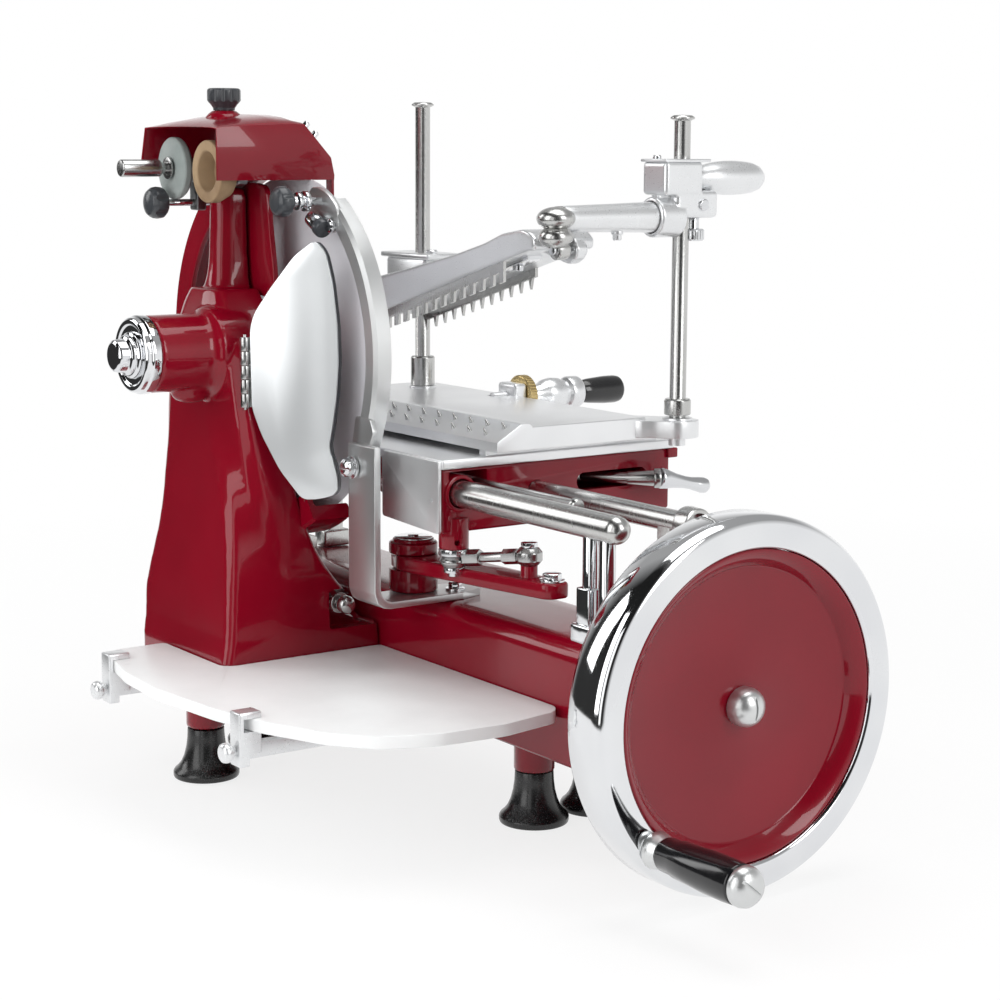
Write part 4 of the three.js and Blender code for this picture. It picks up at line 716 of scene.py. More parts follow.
def makeGuard():
    g = guard
    inner, outer, front, back = g["inner"], g["outer"], g["front"], g["back"]
    start, end = g["arc"]
    rim = spun([(inner, front + 7), (inner, back - 1.5), (inner + 1.5, back), (outer - 2.5, back),
                (outer, back - 2.5), (outer, front + 2.5), (outer - 2.5, front), (inner - 7, front),
                (inner - 7, front + 5), (inner - 2, front + 5), (inner, front + 7)], "y", (0, bladeZ), 150,
               start=start, sweep=end - start)
    flange = flat(arcPoints(149, 100, 300, 66) + arcPoints(139, 300, 100, 66), "y", front, front + 5, 0, 0.8)
    back = flat(((-58, 290), (-58, 498), (-50, 508), (-6, 509), (9.4, 506.4), (14, 490), (18.2, 461), (22.6, 438),
                 (26, 400), (26, 290)), "y", front - 0.1, front + 5.1, 5, 0.8)
    arm = flat(((-141, 292), (-30, 292), (-30, 320), (-145, 320)), "y", front + 0.1, front + 4.9, 0, 0.6)
    middle = rodAlong("y", (0, bladeZ), front - 9, front + 9, 46, sides=96, edge=0)
    bosses = [rodAlong("y", at, -35.7, front + 1, 7, edge=0) for at in ((-35, 446), (-40, 306))]
    shell = fused(carved(fused(back, arm), middle), rim, flange, *bosses)
    piece("blade_guard_shell", shell, redEnamel, "frame", ["blade_guard"], 32)


makeGuard()
print("blade guard")

# Hub end cap, blade and clamp plate
hub = {"end": column["barrelEnd"], "radius": 33.5}


def makeHub():
    e, r = hub["end"], hub["radius"]
    flange = spun([(0, -13), (14, -13), (14.4, -12), (25, -12), (26.5, -13.6), (29.6, -14), (31.6, -12.6), (32, -9),
                   (r, -7.4), (r, -0.3), (0, -0.3)], "y", (0, bladeZ), 96, 0.5, base=e)
    boss = spun([(0, -30), (11, -30), (13.4, -28.6), (14, -26.6), (14, -20.6), (16.6, -19.6), (17.4, -17.6),
                 (17.4, -15.6), (19.6, -14.6), (20.4, -12), (0, -12)], "y", (0, bladeZ), 72, 0.4, base=e)
    piece("hub_cap_turned", together(flange, boss), chrome, "frame", ["hub_cap"], 40)


def makeBlade():
    disc = spun([(0, -7.7), (39, -7.7), (40.6, -7.2), (44.6, -3.6), (47, -3), (113, -1.5), (114.4, -1.1),
                 (142, -0.9), (149.4, 0.6), (150, 0.9), (149.6, 1.1), (136, 1.4), (0, 1.4)], "y", (0, bladeZ), 192)
    piece("blade_disc", disc, bladeFinish, "blade_unit", ["blade"], 20)
    plate = spun([(0, 1.7), (45, 1.7), (46, 2.4), (45.6, 3.6), (43, 4.6), (15, 5), (14, 5.4), (12.6, 6.6), (0, 6.6)],
                 "y", (0, bladeZ), 96)
    screws = [spun([(0, 4), (4.4, 4), (4.4, 5.6), (3.6, 6.2), (0, 6.2)], "y", at, 24, 0.2)
              for at in circle((0, bladeZ), 30, 6)]
    piece("blade_clamp_disc", together(plate, *screws), steel, "blade_unit", ["blade_clamp_plate"])


makeHub()
makeBlade()
print("blade")

# Deflector plate hinged beside the column
deflector = {"hinge": (54.5, -79), "edge": (119, -21), "thickness": 3.5, "knuckle": 12, "low": 322,
             "outline": ((5, 388), (9, 402), (24, 424), (45, 451), (63, 464.5), (72, 455), (78, 430), (82, 395),
                         (83, 363), (81, 333), (77, 306), (74, 290), (79, 276), (82, 262), (81, 251), (66, 246),
                         (50, 245), (30, 270), (14, 300), (6, 322))}


def makeDeflector():
    d = deflector
    (hx, hy), (ex, ey) = d["hinge"], d["edge"]
    t = d["thickness"] / 2
    plate = flat(d["outline"], "y", -t, t, 11, 1.1, 8, 3)
    turn = Matrix.Translation((hx, hy, 0)) @ Matrix.Rotation(math.atan2(ey - hy, ex - hx), 4, "Z")
    bmesh.ops.transform(plate, matrix=turn, verts=plate.verts)
    piece("deflector_sheet", plate, deflectorFinish, "deflector", ["deflector_plate"], 30)
    # A dark strip just behind the plate's edge: painted shade of the gap between the plate and the blade.
    shadeStrip = flat([(u + 1.8, z) for u, z in d["outline"]], "y", t - 0.2, t + 1.2, 11, 0.3, 8, 2)
    bmesh.ops.transform(shadeStrip, matrix=turn, verts=shadeStrip.verts)
    piece("deflector_painted_shade_edge", shadeStrip, darkSteelAndShade, "deflector", (), 30)
    for name, body, order, node in (("deflector_knuckles", "deflector", (0, 2, 4), ()),
                                    ("hinge_leaf_fixed", "frame", (1, 3), ["hinge_leaf"])):
        spans = [(d["low"] + k * d["knuckle"] + 0.3, d["low"] + (k + 1) * d["knuckle"] - 0.3) for k in order]
        parts = [rodAlong("z", d["hinge"], *span, 4.2, sides=32, edge=0.4) for span in spans]
        if name == "deflector_knuckles":
            leaf = flat(((2, 322.3), (9, 322.3), (9, 381.7), (2, 381.7)), "y", t - 0.5, t + 1.4, 0.6, 0.3)
            bmesh.ops.transform(leaf, matrix=turn, verts=leaf.verts)
            parts.append(leaf)
        else:
            parts += [slab(47, 54, -78.6, -75, *span, 0.4) for span in spans]
            parts.append(rodAlong("z", d["hinge"], d["low"] - 2, d["low"] + 62, 1.5, sides=24, edge=0.3))
        piece(name, together(*parts), steel, body, node)


makeDeflector()
print("deflector")

# Sharpener: hood, lift knob, carrier and stones
sharpener = {"post": column["socket"], "stone": (-70, 521), "cup": (0, 519), "press": (-72, 491), "hoodTop": 556,
             "hoodX": (-104, 31), "wall": 2}


def hoodRow(x, crown, inset=0.0):  # one section of the hood: a shallow crown between straight panel edges
    top = sharpener["hoodTop"] - inset
    front, low = -90 - inset * 4, sharpener["hoodTop"] - 44 - inset * 10
    return (x, [(front, low), (24 - inset, low), (24.3 - inset, top - 40), (21 - inset, top - 25),
                (-5 - inset * 0.4, top + 3 + 0.55 * crown), (-16, top + 3.5 + 0.9 * crown), (-34, top + 3 + crown),
                (-58, top + 2 + 0.85 * crown), (-78, top + 1 + 0.5 * crown), (front, top + 0.1 * crown)], 0)


def makeHood():
    h = sharpener
    top, wall = h["hoodTop"], h["wall"]
    x0, x1 = h["hoodX"]
    places = ((x0, 0), (x0 + 6, 3.4), (x0 + 22, 6.5), (x0 + 44, 8.6), (x0 + 66, 9.2), (x1 - 44, 8.6), (x1 - 22, 6.5),
              (x1 - 6, 3), (x1, 0))
    shell = lofted([hoodRow(x, crown) for x, crown in places], 1)
    inner = lofted([hoodRow(x0 + wall if x == x0 else x1 - wall if x == x1 else x, crown, wall)
                    for x, crown in places], 1)
    for bm in (shell, inner):
        bmesh.ops.transform(bm, matrix=axisTurn["x"], verts=bm.verts)
        for v in bm.verts:  # the left panel leans outwards towards its lower edge
            v.co.x -= 0.30 * max(0, top - v.co.z) * max(0, (x0 + 40 - v.co.x) / 40)
        bmesh.ops.recalc_face_normals(bm, faces=bm.faces)
    shell = carved(shell, inner)
    belowLeft = slab(x0 - 40, x0 + 12, -100, 40, top - 70, top - 32, 0)
    belowBack = slab(x0 - 40, x1 - 10, 10, 40, top - 70, top - 31, 0)
    hole = rodAlong("z", h["post"], top - 20, top + 40, column["socketBore"], edge=0)
    tail = slab(x1 - 11, x1 - 0.4, 22.2, 24.2, top - 61, top - 38, 0.4)
    shell = softened(carved(shell, belowLeft, belowBack, hole), 0.5, 50, 2)
    piece("hood_bent_sheet", together(shell, tail), redSheet, "sharpener_head", ["sharpener_hood"], 24)
    cone = spun([(8.3, 8), (16.6, 8), (16.2, 9.4), (13.4, 12.4), (10.4, 14.6), (8.3, 14.8), (8.3, 8)], "z", h["post"],
                64, 0.3, base=top)
    piece("hood_boss", cone, redEnamel, "sharpener_head", (), 50)
    pins = [rod((x, y, z), (x, y + 4.4, z + 4.6), 3, sides=24) for x, y, z in ((x1 - 8, -2, top), (x1 - 5, 5, top - 8))]
    piece("hood_screws", together(*pins), chrome, "sharpener_head", ())
    z = top + 15
    knob = spun([(8.5, 0), (9.4, 0), (9.6, 2.2), (11.6, 5), (14, 7.6), (14.6, 8.8), (14.6, 17), (13.8, 18.4),
                 (12.4, 19), (0, 19), (0, 3.8), (8.5, 3.4), (8.5, 0)], "z", h["post"], 80, 0.4, base=z)
    flutes = [rodAlong("z", at, z + 2, z + 24, 2.5, sides=20, edge=0) for at in circle(h["post"], 16.2, 12)]
    piece("lift_knob_fluted", carved(knob, *flutes), greyKnob, "sharpener_lift", ["lift_knob"], 30)


def makeSharpener():
    h = sharpener
    stone, cup, press = h["stone"], h["cup"], h["press"]
    post = rodAlong("z", h["post"], 447, 574.2, 8, edge=0.6)
    yoke = fused(slab(-54, -14, -61, -38, 505.3, 527.3, 3), slab(-80, 12, -61, -49, 507.3, 525.3, 3.5),
                 rodAlong("y", stone, -71, -40, 9, edge=0.8), rodAlong("y", cup, -63, -40, 9, edge=0.8),
                 slab(-79, -64.5, -60, -50, 484, 513, 2))
    yoke = carved(yoke, rodAlong("y", press, -70, -40, 3.3, edge=0))
    piece("sharpener_yoke", together(post, yoke), darkCast, "sharpener_head", ["sharpener_carrier"],
          40)
    spindles = [spun([(0, -131), (6.6, -131), (7.6, -130), (7.6, -94), (6.4, -93), (5, -93), (5, -52), (0, -52)],
                     "y", stone, 48, 0.3),
                spun([(0, -67), (5, -67), (5, -52), (0, -52)], "y", cup, 40, 0.3),
                spun([(5, -86), (9.6, -86), (9.6, -84.6), (5, -84.6)], "y", stone, 40, 0.2)]
    piece("stone_spindles", together(*spindles), steel, "sharpener_head", ())
    grey = spun([(5.3, -82), (12, -83), (20, -83), (26, -81.6), (27, -80.4), (27, -76), (25, -73.4), (20, -72),
                 (5.3, -72), (5.3, -82)], "y", stone, 96, 0.3)
    piece("grey_stone_disc", grey, greyGrit, "grinding_stone", ["grey_stone"], 50)
    brown = spun([(5.3, -64), (18.6, -64), (22, -66), (26.4, -74.6), (26.6, -83), (25.8, -84), (18, -84),
                (17, -83), (15.4, -68), (5.3, -68), (5.3, -64)], "y", cup, 96, 0.3)
    piece("cup_wheel_ring", brown, brownGrit, "honing_cup", ["cup_wheel"], 50)
    piece("press_knob_stem", rodAlong("y", press, -90, -40, 3, edge=0.4), chrome, "stone_pusher", ())
    knob = spun([(0, -106), (6, -105.6), (10.6, -103.6), (13.4, -100), (14, -96), (13.4, -91), (11, -88.4), (8, -87.4),
                 (5, -86), (0, -86)], "y", press, 64, 0.5)
    lobes = [rodAlong("y", at, -110, -84, 5, edge=0) for at in circle(press, 17.4, 6, 20)]
    piece("press_knob_lobed", carved(knob, *lobes), greyKnob, "stone_pusher", ["press_knob"], 30)


makeHood()
makeSharpener()
print("sharpener")

# Carriage: red casting on its two guides, top plate with apron, release lever
carriage = {"x": (-70, 218), "y": (9, 246), "plate": (282, 290), "slot": (150, 226, 252, 267.4),
            "lever": (182, 172), "wall": (12, 252, 228)}


def makeCarriage():
    c = carriage
    (x0, x1), (y0, y1) = c["x"], c["y"]
    low, top = c["plate"]
    wy0, wy1, wz = c["wall"]
    rodY, rodZ = guide["rod"]
    railY = guide["rail"][0]
    body = fused(slab(x0, x1, rodY - 14, y1, 252, low - 0.3, 4), slab(x1 - 12, x1, wy0, wy1, wz, low - 0.4, 2.4),
                 slab(x1 - 96, x1 - 3, 128, y1 - 3, wz + 1, low - 4, 3))
    s0, s1, z0, z1 = c["slot"]
    slotCut = flat(((s0, z0), (s1, z0), (s1, z1), (s0, z1)), "x", x1 - 20, x1 + 20, 7.6)
    body = carved(body, slab(x0 + 10, x1 - 12, rodY + 20, railY - 22, 218, 270, 3),
                  slab(x0 + 10, x1 - 100, railY + 22, y1 - 10, 218, 270, 3),
                  slab(x1 - 88, x1 - 9, 136, y1 - 10, wz + 8, 271, 3),
                  slab(x0 - 5, x0 + 140, rodY - 40, y1 + 5, 218, 258, 0),
                  slab(x1 - 40, x1 + 6, rodY - 11, rodY + 27, rodZ + 3, low - 3, 2))
    body = fused(body, rodAlong("x", guide["rod"], x0 + 182, x1 + 2, 15.6, sides=96, edge=1.5))
    body = carved(body, rodAlong("x", guide["rod"], x0 - 20, x1 + 20, 12.4, sides=96, edge=0),
                  slab(x0 - 5, x0 + 150.5, rodY - 20, rodY + 18, 228, rodZ + 13.2, 0),
                  rodAlong("x", guide["rail"], x0 - 20, x1 + 20, 9.3, sides=64, edge=0), slotCut)
    body = softened(body, 0.8, 40, 2)
    pivot = rodAlong("z", c["lever"], 251, 276, 5)
    corner = slab(x1 - 9, x1 + 3, wy1 - 4, wy1 + 7, low - 9, low - 0.4, 1.2)
    piece("carriage_body", together(body, pivot, corner), redEnamel, "carriage", ["carriage_casting"], 32)
    px0, px1 = x0 - 6, x1 + 6
    top1 = slab(px0, px1, y0, y1 + 6, low, top, 1.4)
    apron = flat(((px1 - 2, low + 4), (px1 - 88, low + 4), (px1 - 88, 233), (px1 - 2, 229)), "y", y0 - 3, y0, 3, 0.6)
    fix = slab(px1 - 86, px1 - 2, y0 - 3, y0 + 4, low, top - 1, 0.8)
    rails = [slab(x, x + 10, 55, 236, top - 1, 294.7, 0.8) for x in (x0 - 4, x1 - 9)]
    hole = rodAlong("y", (px1 - 12, 256), y0 - 10, y0 - 1.4, 1.6, sides=24, edge=0)
    piece("carriage_top_plate", carved(fused(top1, apron, fix, *rails), hole), satinPlate, "carriage",
          ["carriage_plate"], 30)
    stop = spun([(0, -4), (4.6, -4), (4.6, 132), (6, 132.6), (6, 137), (5, 139), (0, 139.4)], "x",
                (rodY + 17, rodZ + 7), 48, 0.3, base=x1)
    piece("carriage_stop_rod", stop, steel, "carriage", ())
    lx, ly = c["lever"]
    z = (z0 + z1) / 2
    eye = carved(rodAlong("z", c["lever"], z - 5, z + 5, 10, edge=0.8),
                 rodAlong("z", c["lever"], z - 9, z + 9, 5.3, edge=0))
    stem = rod((lx + 6, ly + 4, z), (225, 202, z), 5, edge=0.4)
    sleeve = rod((223, 200.6, z), (238, 220, z), 5.8, 7, edge=0.8)
    collar = rod((237, 218.8, z), (240.4, 224, z), 8.6, edge=1)
    piece("release_lever_bar", fused(eye, stem, sleeve, collar), steel, "feed_release", ())
    handle = spun([(0, 0), (8.6, 0), (9.2, 2), (8.6, 7), (6.6, 16), (5.4, 26), (5.4, 33), (6.4, 40), (7, 45), (6.4, 49),
                   (4, 51.6), (0, 52.4)], "z", (0, 0), 64, 0.3)
    aim = Vector((6, 47, -10)).to_track_quat("Z", "Y").to_matrix().to_4x4()
    bmesh.ops.transform(handle, matrix=Matrix.Translation((239.6, 222.4, z + 0.4)) @ aim, verts=handle.verts)
    piece("release_lever_handle", handle, polished, "feed_release", ["release_lever"], 50)


makeCarriage()
print("carriage")

# Meat table with its spiked strip, ear and posts
table = {"x": (-96, 241), "y": (79, 206), "top": 314, "thick": 19, "inner": (-55, 172), "outer": (255, 229),
         "postRadius": 7, "postBore": 7.3, "crank": (40, 312)}


def makeTable():
    t = table
    (x0, x1), (y0, y1), top = t["x"], t["y"], t["top"]
    low = top - t["thick"]
    ox, oy = t["outer"]
    board = slab(x0, x1, y0, y1, low, top, 1.2)
    strip = flat(((y0 + 8, top - 1), (y0 + 8, low), (y0 - 28, low), (y0 - 28, low + 8), (y0 - 26, low + 9.6),
                  (y0 - 5, top + 2.4), (y0 - 3, top + 3), (y0 + 4, top + 3), (y0 + 7, top + 1.6)), "x", x0, x1, 0, 0.6)
    ear = flat(((x1 - 30, y1 - 12), (x1 + 2, y1 - 12), (x1 + 14, y1 + 3), (ox + 14, oy - 11), (ox + 17, oy + 2),
                (ox + 14, oy + 14), (ox + 4, oy + 18), (ox - 14, oy + 14), (x1 - 30, y1 + 8)), "z", low + 2, top - 2, 7,
               1.6)
    collar = rodAlong("z", t["outer"], low + 2, top, 13, sides=64, edge=1.2)
    collarIn = rodAlong("z", t["inner"], low + 2, top + 2, 13, sides=64, edge=0.8)
    cx, cz = t["crank"]
    boss = slab(cx - 14, cx + 14, y1 - 4, y1 + 10, low, cz + 13, 3)
    whole = fused(board, strip, ear, collar, collarIn, boss)
    whole = carved(whole, slab(x0 + 34, x1 - 34, y0 + 4, y1 - 12, low - 5, low + 8, 2),
                   rodAlong("y", t["crank"], y1 - 22, y1 + 15, 5.3, edge=0),
                   *(rodAlong("z", t[post], low - 5, top + 9, t["postBore"], edge=0) for post in ("inner", "outer")))
    spikes = []
    for row in range(2):
        for i in range(13):
            x, y, z = x1 - 14 - i * 24 - row * 12, y0 - 11 - row * 10, top - 1 - row * 5.6
            spikes.append(rod((x, y + 1, z - 2), (x, y - 2.6, z + 5), 2.5, 0.6, sides=20, edge=0.3))
    piece("meat_table_board", whole, satinPlate, "table", ["meat_table"], 30)
    piece("meat_table_spikes", together(*spikes), steel, "table", (), 30)
    for name, (x, y), node, end, high in (("inner_post_rod", t["inner"], "inner_post", 581.6, 30),
                                          ("outer_post_rod", t["outer"], "outer_post", 568.6, 16)):
        r = t["postRadius"]
        rodProfile = [(0, low + 3), (r, low + 3), (r, top + 2.3), (11, top + 2.3), (11.4, top + 3),
                      (11.4, top + high - 1.4), (10.4, top + high), (r + 0.2, top + high), (r, top + high + 0.4),
                      (r, end - 5), (r + 3.4, end - 3.4),
                      (r + 3.4, end - 2.2), (r + 1, end - 0.6), (0, end)]
        postRod = spun(rodProfile, "z", (x, y), 64, 0.3)
        slit = slab(x - 1, x + 1, y - 20, y + 20, end - 1.8, end + 4, 0)
        piece(name, carved(postRod, slit), nickel, "table", [node], 30)
    ring1 = spun([(5.3, 10.3), (18, 10.3), (19.4, 11.2), (19.4, 18.4), (18, 19.3), (5.3, 19.3), (5.3, 10.3)], "y",
                 (cx, cz), 120, 0.2, base=y1)
    nicks = [rodAlong("y", at, y1 + 8, y1 + 22, 1.1, sides=10, edge=0) for at in circle(t["crank"], 20, 40)]
    piece("dial_ring_knurled", carved(ring1, together(*nicks)), brass, "feed_crank", ["dial_ring"], 30)
    k = y1 + 10.3
    arm = spun([(0, -30), (5, -30), (5, 9.4), (7.6, 9.6), (8.4, 14), (9.4, 22), (13.4, 28), (15, 36), (14.4, 44),
                (12, 50), (11.6, 52), (14.2, 54), (15, 56), (15, 66), (14, 68), (5, 68.2), (5, 112), (0, 112)], "y",
               (cx, cz), 80, 0.4, base=k)
    piece("crank_cone", arm, castAluminium, "feed_crank", ["crank_arm"], 40)
    grip = spun([(5.3, 69), (9, 69), (10, 70.4), (11.6, 80), (13, 98), (13.2, 110), (12.4, 115), (10, 117.6), (0, 118),
                 (0, 112.4), (5.3, 112.4), (5.3, 69)], "y", (cx, cz), 64, 0.5, base=k)
    piece("crank_grip_turned", grip, blackGrip, "crank_handle", ["crank_grip"], 50)


makeTable()
print("table")

# Hold-down: sleeve, arm, knuckle, press casting and its combs
hold = {"arm": 485, "knee": 98, "pivot": 459, "tilt": 0.2857, "y": (88, 150), "low": (-18, 394), "drop": 7,
        "lowerBall": 469.4}


def edgeZ(x):  # height of the press's lower face
    return hold["low"][1] + (x - hold["low"][0]) * hold["tilt"] - hold["drop"]


def makeHold():
    ox, oy = table["outer"]
    z = hold["arm"]
    block = slab(ox - 16, ox + 16, oy - 30, oy + 11, z + 17, z + 45, 3.4)
    lower = slab(ox - 15, ox + 15, oy - 17, oy + 29, z - 2, z + 21, 4)
    collar = rodAlong("y", (ox, z - 1), oy - 33, oy - 6, 17, sides=64, edge=2)
    bores = [rodAlong("z", (ox, oy), 440, 560, table["postBore"], sides=64, edge=0) for _ in range(2)]
    skin = carved(cast(together(block, lower, collar), 1.1, 3), bores[0],
                  rodAlong("y", (ox, z - 1), 100, oy - 17.8, 13.8, sides=64, edge=0))
    lid = carved(slab(ox - 17, ox + 17, oy - 31, oy + 18, z + 44.4, z + 47, 0.9), bores[1])
    egg = spun([(0, 9), (9, 9), (9, 13), (10.4, 21), (12.4, 29), (13.7, 37), (14.4, 46), (14.5, 56), (14, 66),
                (13, 75), (10.8, 82), (7.6, 86.4), (3.6, 88.4), (0, 88.8)], "y", (ox, z + 31), 96, base=oy)
    piece("sleeve_casting", together(skin, lid, egg), castAluminium, "hold_arm", ["hold_sleeve"], 35)
    under = (ox, oy + 13)
    screw = spun([(0, -21.4), (8.6, -21.4), (10, -20), (10, -12.6), (8.6, -11.2), (5.5, -11), (5.5, 0), (0, 0)], "z",
                 under, 64, 0.3, base=z)
    nicks = [rodAlong("z", at, z - 24, z - 10, 0.9, sides=10, edge=0) for at in circle(under, 10.6, 24)]
    side = spun([(0, 14), (5, 14), (5, 16.4), (4.2, 17), (0, 17)], "x", (oy + 12, z + 9), 40, 0.3, base=ox)
    slit = slab(ox + 15.6, ox + 20, oy, oy + 24, z + 8.2, z + 9.8, 0)
    lidScrew = spun([(0, 46), (3.6, 46), (3.6, 49.4), (2.8, 50.2), (0, 50.2)], "z", (ox - 6, oy - 22), 32, 0.3, base=z)
    screws = together(carved(screw, together(*nicks)), carved(side, slit), lidScrew)
    piece("sleeve_screws", screws, polished, "hold_arm", ())
    arm = spun([(0, 104), (10.6, 104), (10.8, 115), (11.8, 160), (13.3, 210), (13.3, 210.8), (0, 210.8)], "y",
               (ox, z - 1), 96, 0.3)
    stub = spun([(0, -19.4), (3.2, -19.4), (3.8, -18.8), (3.8, -15), (5, -14.4), (5, -11), (0, -11)], "z", (ox, 161),
                40, 0.2, base=z)
    piece("hold_arm_tube", together(arm, stub), castAluminium, "hold_arm", ["arm_tube"], 40)
    ky, kz = hold["knee"], hold["pivot"]
    upper = ball((ox, ky, z - 0.6), 16, (1, 1, 0.6), 72)
    lowBall = ball((ox, ky, hold["lowerBall"]), 14.4, (1, 1, 0.68), 72)
    tongue = rodAlong("y", (ox, kz), ky - 1, ky + 10, 8, edge=0.8)
    link = slab(ox - 7, ox + 7, ky, ky + 9, kz, 474, 1.5)
    stem = rodAlong("y", (ox, z - 1), ky, 114.6, 10.4, sides=64, edge=0.6)
    knee = carved(fused(upper, lowBall, tongue, link, stem), rodAlong("y", (ox, kz), ky - 30, ky + 30, 4.3, edge=0))
    piece("knuckle_balls", knee, nickel, "hold_arm", ["arm_knuckle"], 45)


def makePress():
    y0, y1 = hold["y"]
    ox = table["outer"][0]
    ky, kz = hold["knee"], hold["pivot"]
    x0 = hold["low"][0]
    shell = flat(((x0, edgeZ(x0)), (228, edgeZ(228)), (238, 458), (240, 466), (232, 472.4), (221, 475), (192, 470.4),
                  (166, 461.4), (120, 449.6), (40, 433), (x0, 422)), "y", y0, y1, 3, 3.4, 3, 4)
    ear = flat(((206, 458), (240, 450), (254, 447), (264, 452), (267, 460), (260, 470), (216, 474)), "y", 111.6, 122,
               3, 2)
    dish = flat(((6, edgeZ(6) + 11), (150, edgeZ(150) + 11), (166, 480), (178, 500), (-2, 500)), "y", y0 + 8, y1 - 8, 4)
    body = cast(together(carved(shell, dish), ear), 1.2, 4)
    body = carved(body, rodAlong("y", (ox, hold["arm"]), 0, 200, 17, sides=64, edge=0),
                  ball((ox, ky, hold["lowerBall"]), 15.2, steps=56))
    piece("press_casting_skin", body, castAluminium, "press", ["press_casting"], 35)
    pin = spun([(0, -4), (4, -4), (4, 16), (0, 16)], "y", (ox, kz), 32, 0.4, base=ky)
    nut = spun([(0, 121), (7, 121), (7, 125), (4, 127.6), (0, 128)], "y", (ox, kz), 32, 0.4)
    strap = flat([(x, edgeZ(x) + dz) for x, dz in ((162, -3), (210, -3), (210, 1), (162, 1))], "y", 102, 118, 0, 0.5)
    head = spun([(0, -7), (4, -7), (4.6, -6.4), (4.6, -2), (0, -2)], "z", (186, 110), 32, 0.3, base=edgeZ(186))
    piece("press_pivot", together(pin, nut, strap, head), polished, "press", ())
    for name, ya, end, count, tooth in (  # a tooth gives places as a share of the step and drops
        ("square_comb", y0 + 2, 193, 14, ((0, 17), (0.46, 17), (0.46, 8), (1, 8))),
        ("pointed_comb", y1 - 6, 164, 12, ((0, 8), (0.34, 8), (0.5, 17), (0.66, 8))),
    ):
        step = (end - x0 - 4) / count
        corners = [(x0 + 4, -1), (end, -1)]
        corners += [(end - i * step - step * t, drop) for i in range(count) for t, drop in tooth]
        comb = flat([(x, edgeZ(x) - drop) for x, drop in corners], "y", ya, ya + 3, 0, 0.3)
        piece(name + "_strip", comb, nickel, "press", [name], 25)


def makePostGuide():
    ix, iy = table["inner"]
    block = slab(ix - 34, ix + 34, iy - 20, iy + 18, 388, 438, 4)
    lid = slab(ix - 41, ix + 41, iy - 21.5, iy + 20, 437, 442, 1.6)
    body = carved(fused(block, lid), rodAlong("z", (ix, iy), 380, 480, table["postBore"], sides=64, edge=0),
                  rodAlong("z", (ix, iy), 380, 396, 12, sides=64, edge=0))  # clears the post's collar when down
    screw = spun([(0, 441), (6, 441), (6, 444), (4.6, 445.6), (0, 446)], "z", (ix + 24, iy - 6), 40, 0.3)
    piece("post_guide_block", together(body, screw), castAluminium, "press_guide", ["post_guide"], 30)


makeHold()
makePress()
makePostGuide()
print("hold-down")

# Linkage under the carriage
link = {"pivot": (132, 40), "pin": (274, 60), "lug": (209, 30), "bolt": (300, 64)}


def makeLink():
    px, py = link["pivot"]
    cylinder = spun([(0, 164.6), (20, 164.6), (21, 165.6), (21, 183.7), (8, 183.7), (8, 197.3), (20.4, 197.3),
                     (21, 198), (21, 206), (20, 207), (18, 207.4), (17.6, 209.6), (16.6, 210), (0, 210)], "z", (px, py),
                    80, 0.4)
    piece("pivot_drum", cylinder, redEnamel, "frame", ["pivot_cylinder"], 40)
    lid = spun([(0, 209.6), (16, 209.6), (16.6, 210.2), (16.6, 210.8), (15.6, 211.2), (5, 211.2), (4.6, 212.6),
                (0, 212.6)], "z", (px, py), 64, 0.2)
    piece("pivot_drum_lid", lid, chrome, "frame", (), 40)
    arm = carved(flat(((112, 28), (142, 18), (312, 52), (312, 76), (142, 62), (112, 52)), "z", 184, 197, 9, 2.4),
                 rodAlong("z", (px, py), 180, 200, 8.3, edge=0))
    bx, by = link["pin"]
    boss = spun([(0, 197), (8, 197), (7, 199), (7, 206.5), (4, 206.6), (4, 223.6), (0, 224)], "z", (bx, by), 48, 0.3)
    piece("swing_arm_bar", together(arm, boss), redEnamel, "swing_link", ["swing_arm"], 35)
    piece("swing_arm_bolt", together(hexBolt("z", link["bolt"], 198.8, 204, 8, 10.4),
                                     spun([(0, 221), (7, 221), (7, 225.4), (0, 225.4)], "z", (bx, by), 6, 0.3)), chrome,
          "swing_link", ())
    lx, ly = link["lug"]
    eyes = [spun([(hole, z0), (r - 3, z0), (r, z0 + 3.6), (r, z1 - 3.6), (r - 3, z1), (hole, z1), (hole, z0)], "z", at,
                 56, 0.5)
            for at, z0, z1, r, hole in ((link["pin"], 207, 221, 11, 4.3), (link["lug"], 198, 207.6, 12, 5.3))]
    a, b = Vector((bx, by, 214)), Vector((lx, ly, 205))
    d = (b - a).normalized()
    bar = rod(a + d * 9, b - d * 11, 4.2, edge=0.3)
    nutA = rod(a + d * 10, a + d * 24, 6.6, sides=6, edge=0.5)
    nutB = rod(b - d * 26, b - d * 11, 7.2, sides=6, edge=0.5)
    piece("link_rod_ends", together(*eyes, bar, nutA, nutB), steel, "tie_link", ["link_rod"], 30)
    lug = carved(rodAlong("z", (lx, ly), 213.8, 240, 12.6, sides=72, edge=1),
                 rodAlong("z", (lx, ly), 190, 250, 5.3, edge=0),
                 rod((lx + 6, ly - 3, 220), (lx + 30, ly - 9, 220), 2.4, edge=0))
    piece("link_lug_boss", lug, redEnamel, "carriage", ["link_lug"], 32)
    pin = spun([(0, 190), (4.6, 190), (4.6, 193), (8.4, 193.4), (8.4, 197.6), (5, 197.8), (5, 208), (12.4, 208),
                (12.8, 208.6), (12.8, 213.2), (12.4, 213.7), (5, 213.7), (5, 238), (0, 238)], "z", (lx, ly), 56, 0.3)
    piece("link_lug_pin", pin, polished, "carriage", (), 35)


makeLink()
print("linkage")

# Camera, light and floor: the lens and the place come from the fit to the photograph
view = {"azimuth": 54.8, "elevation": 9.3, "roll": 0.3, "place": (1693.4, -970.6, 547.1), "lens": 79.2}


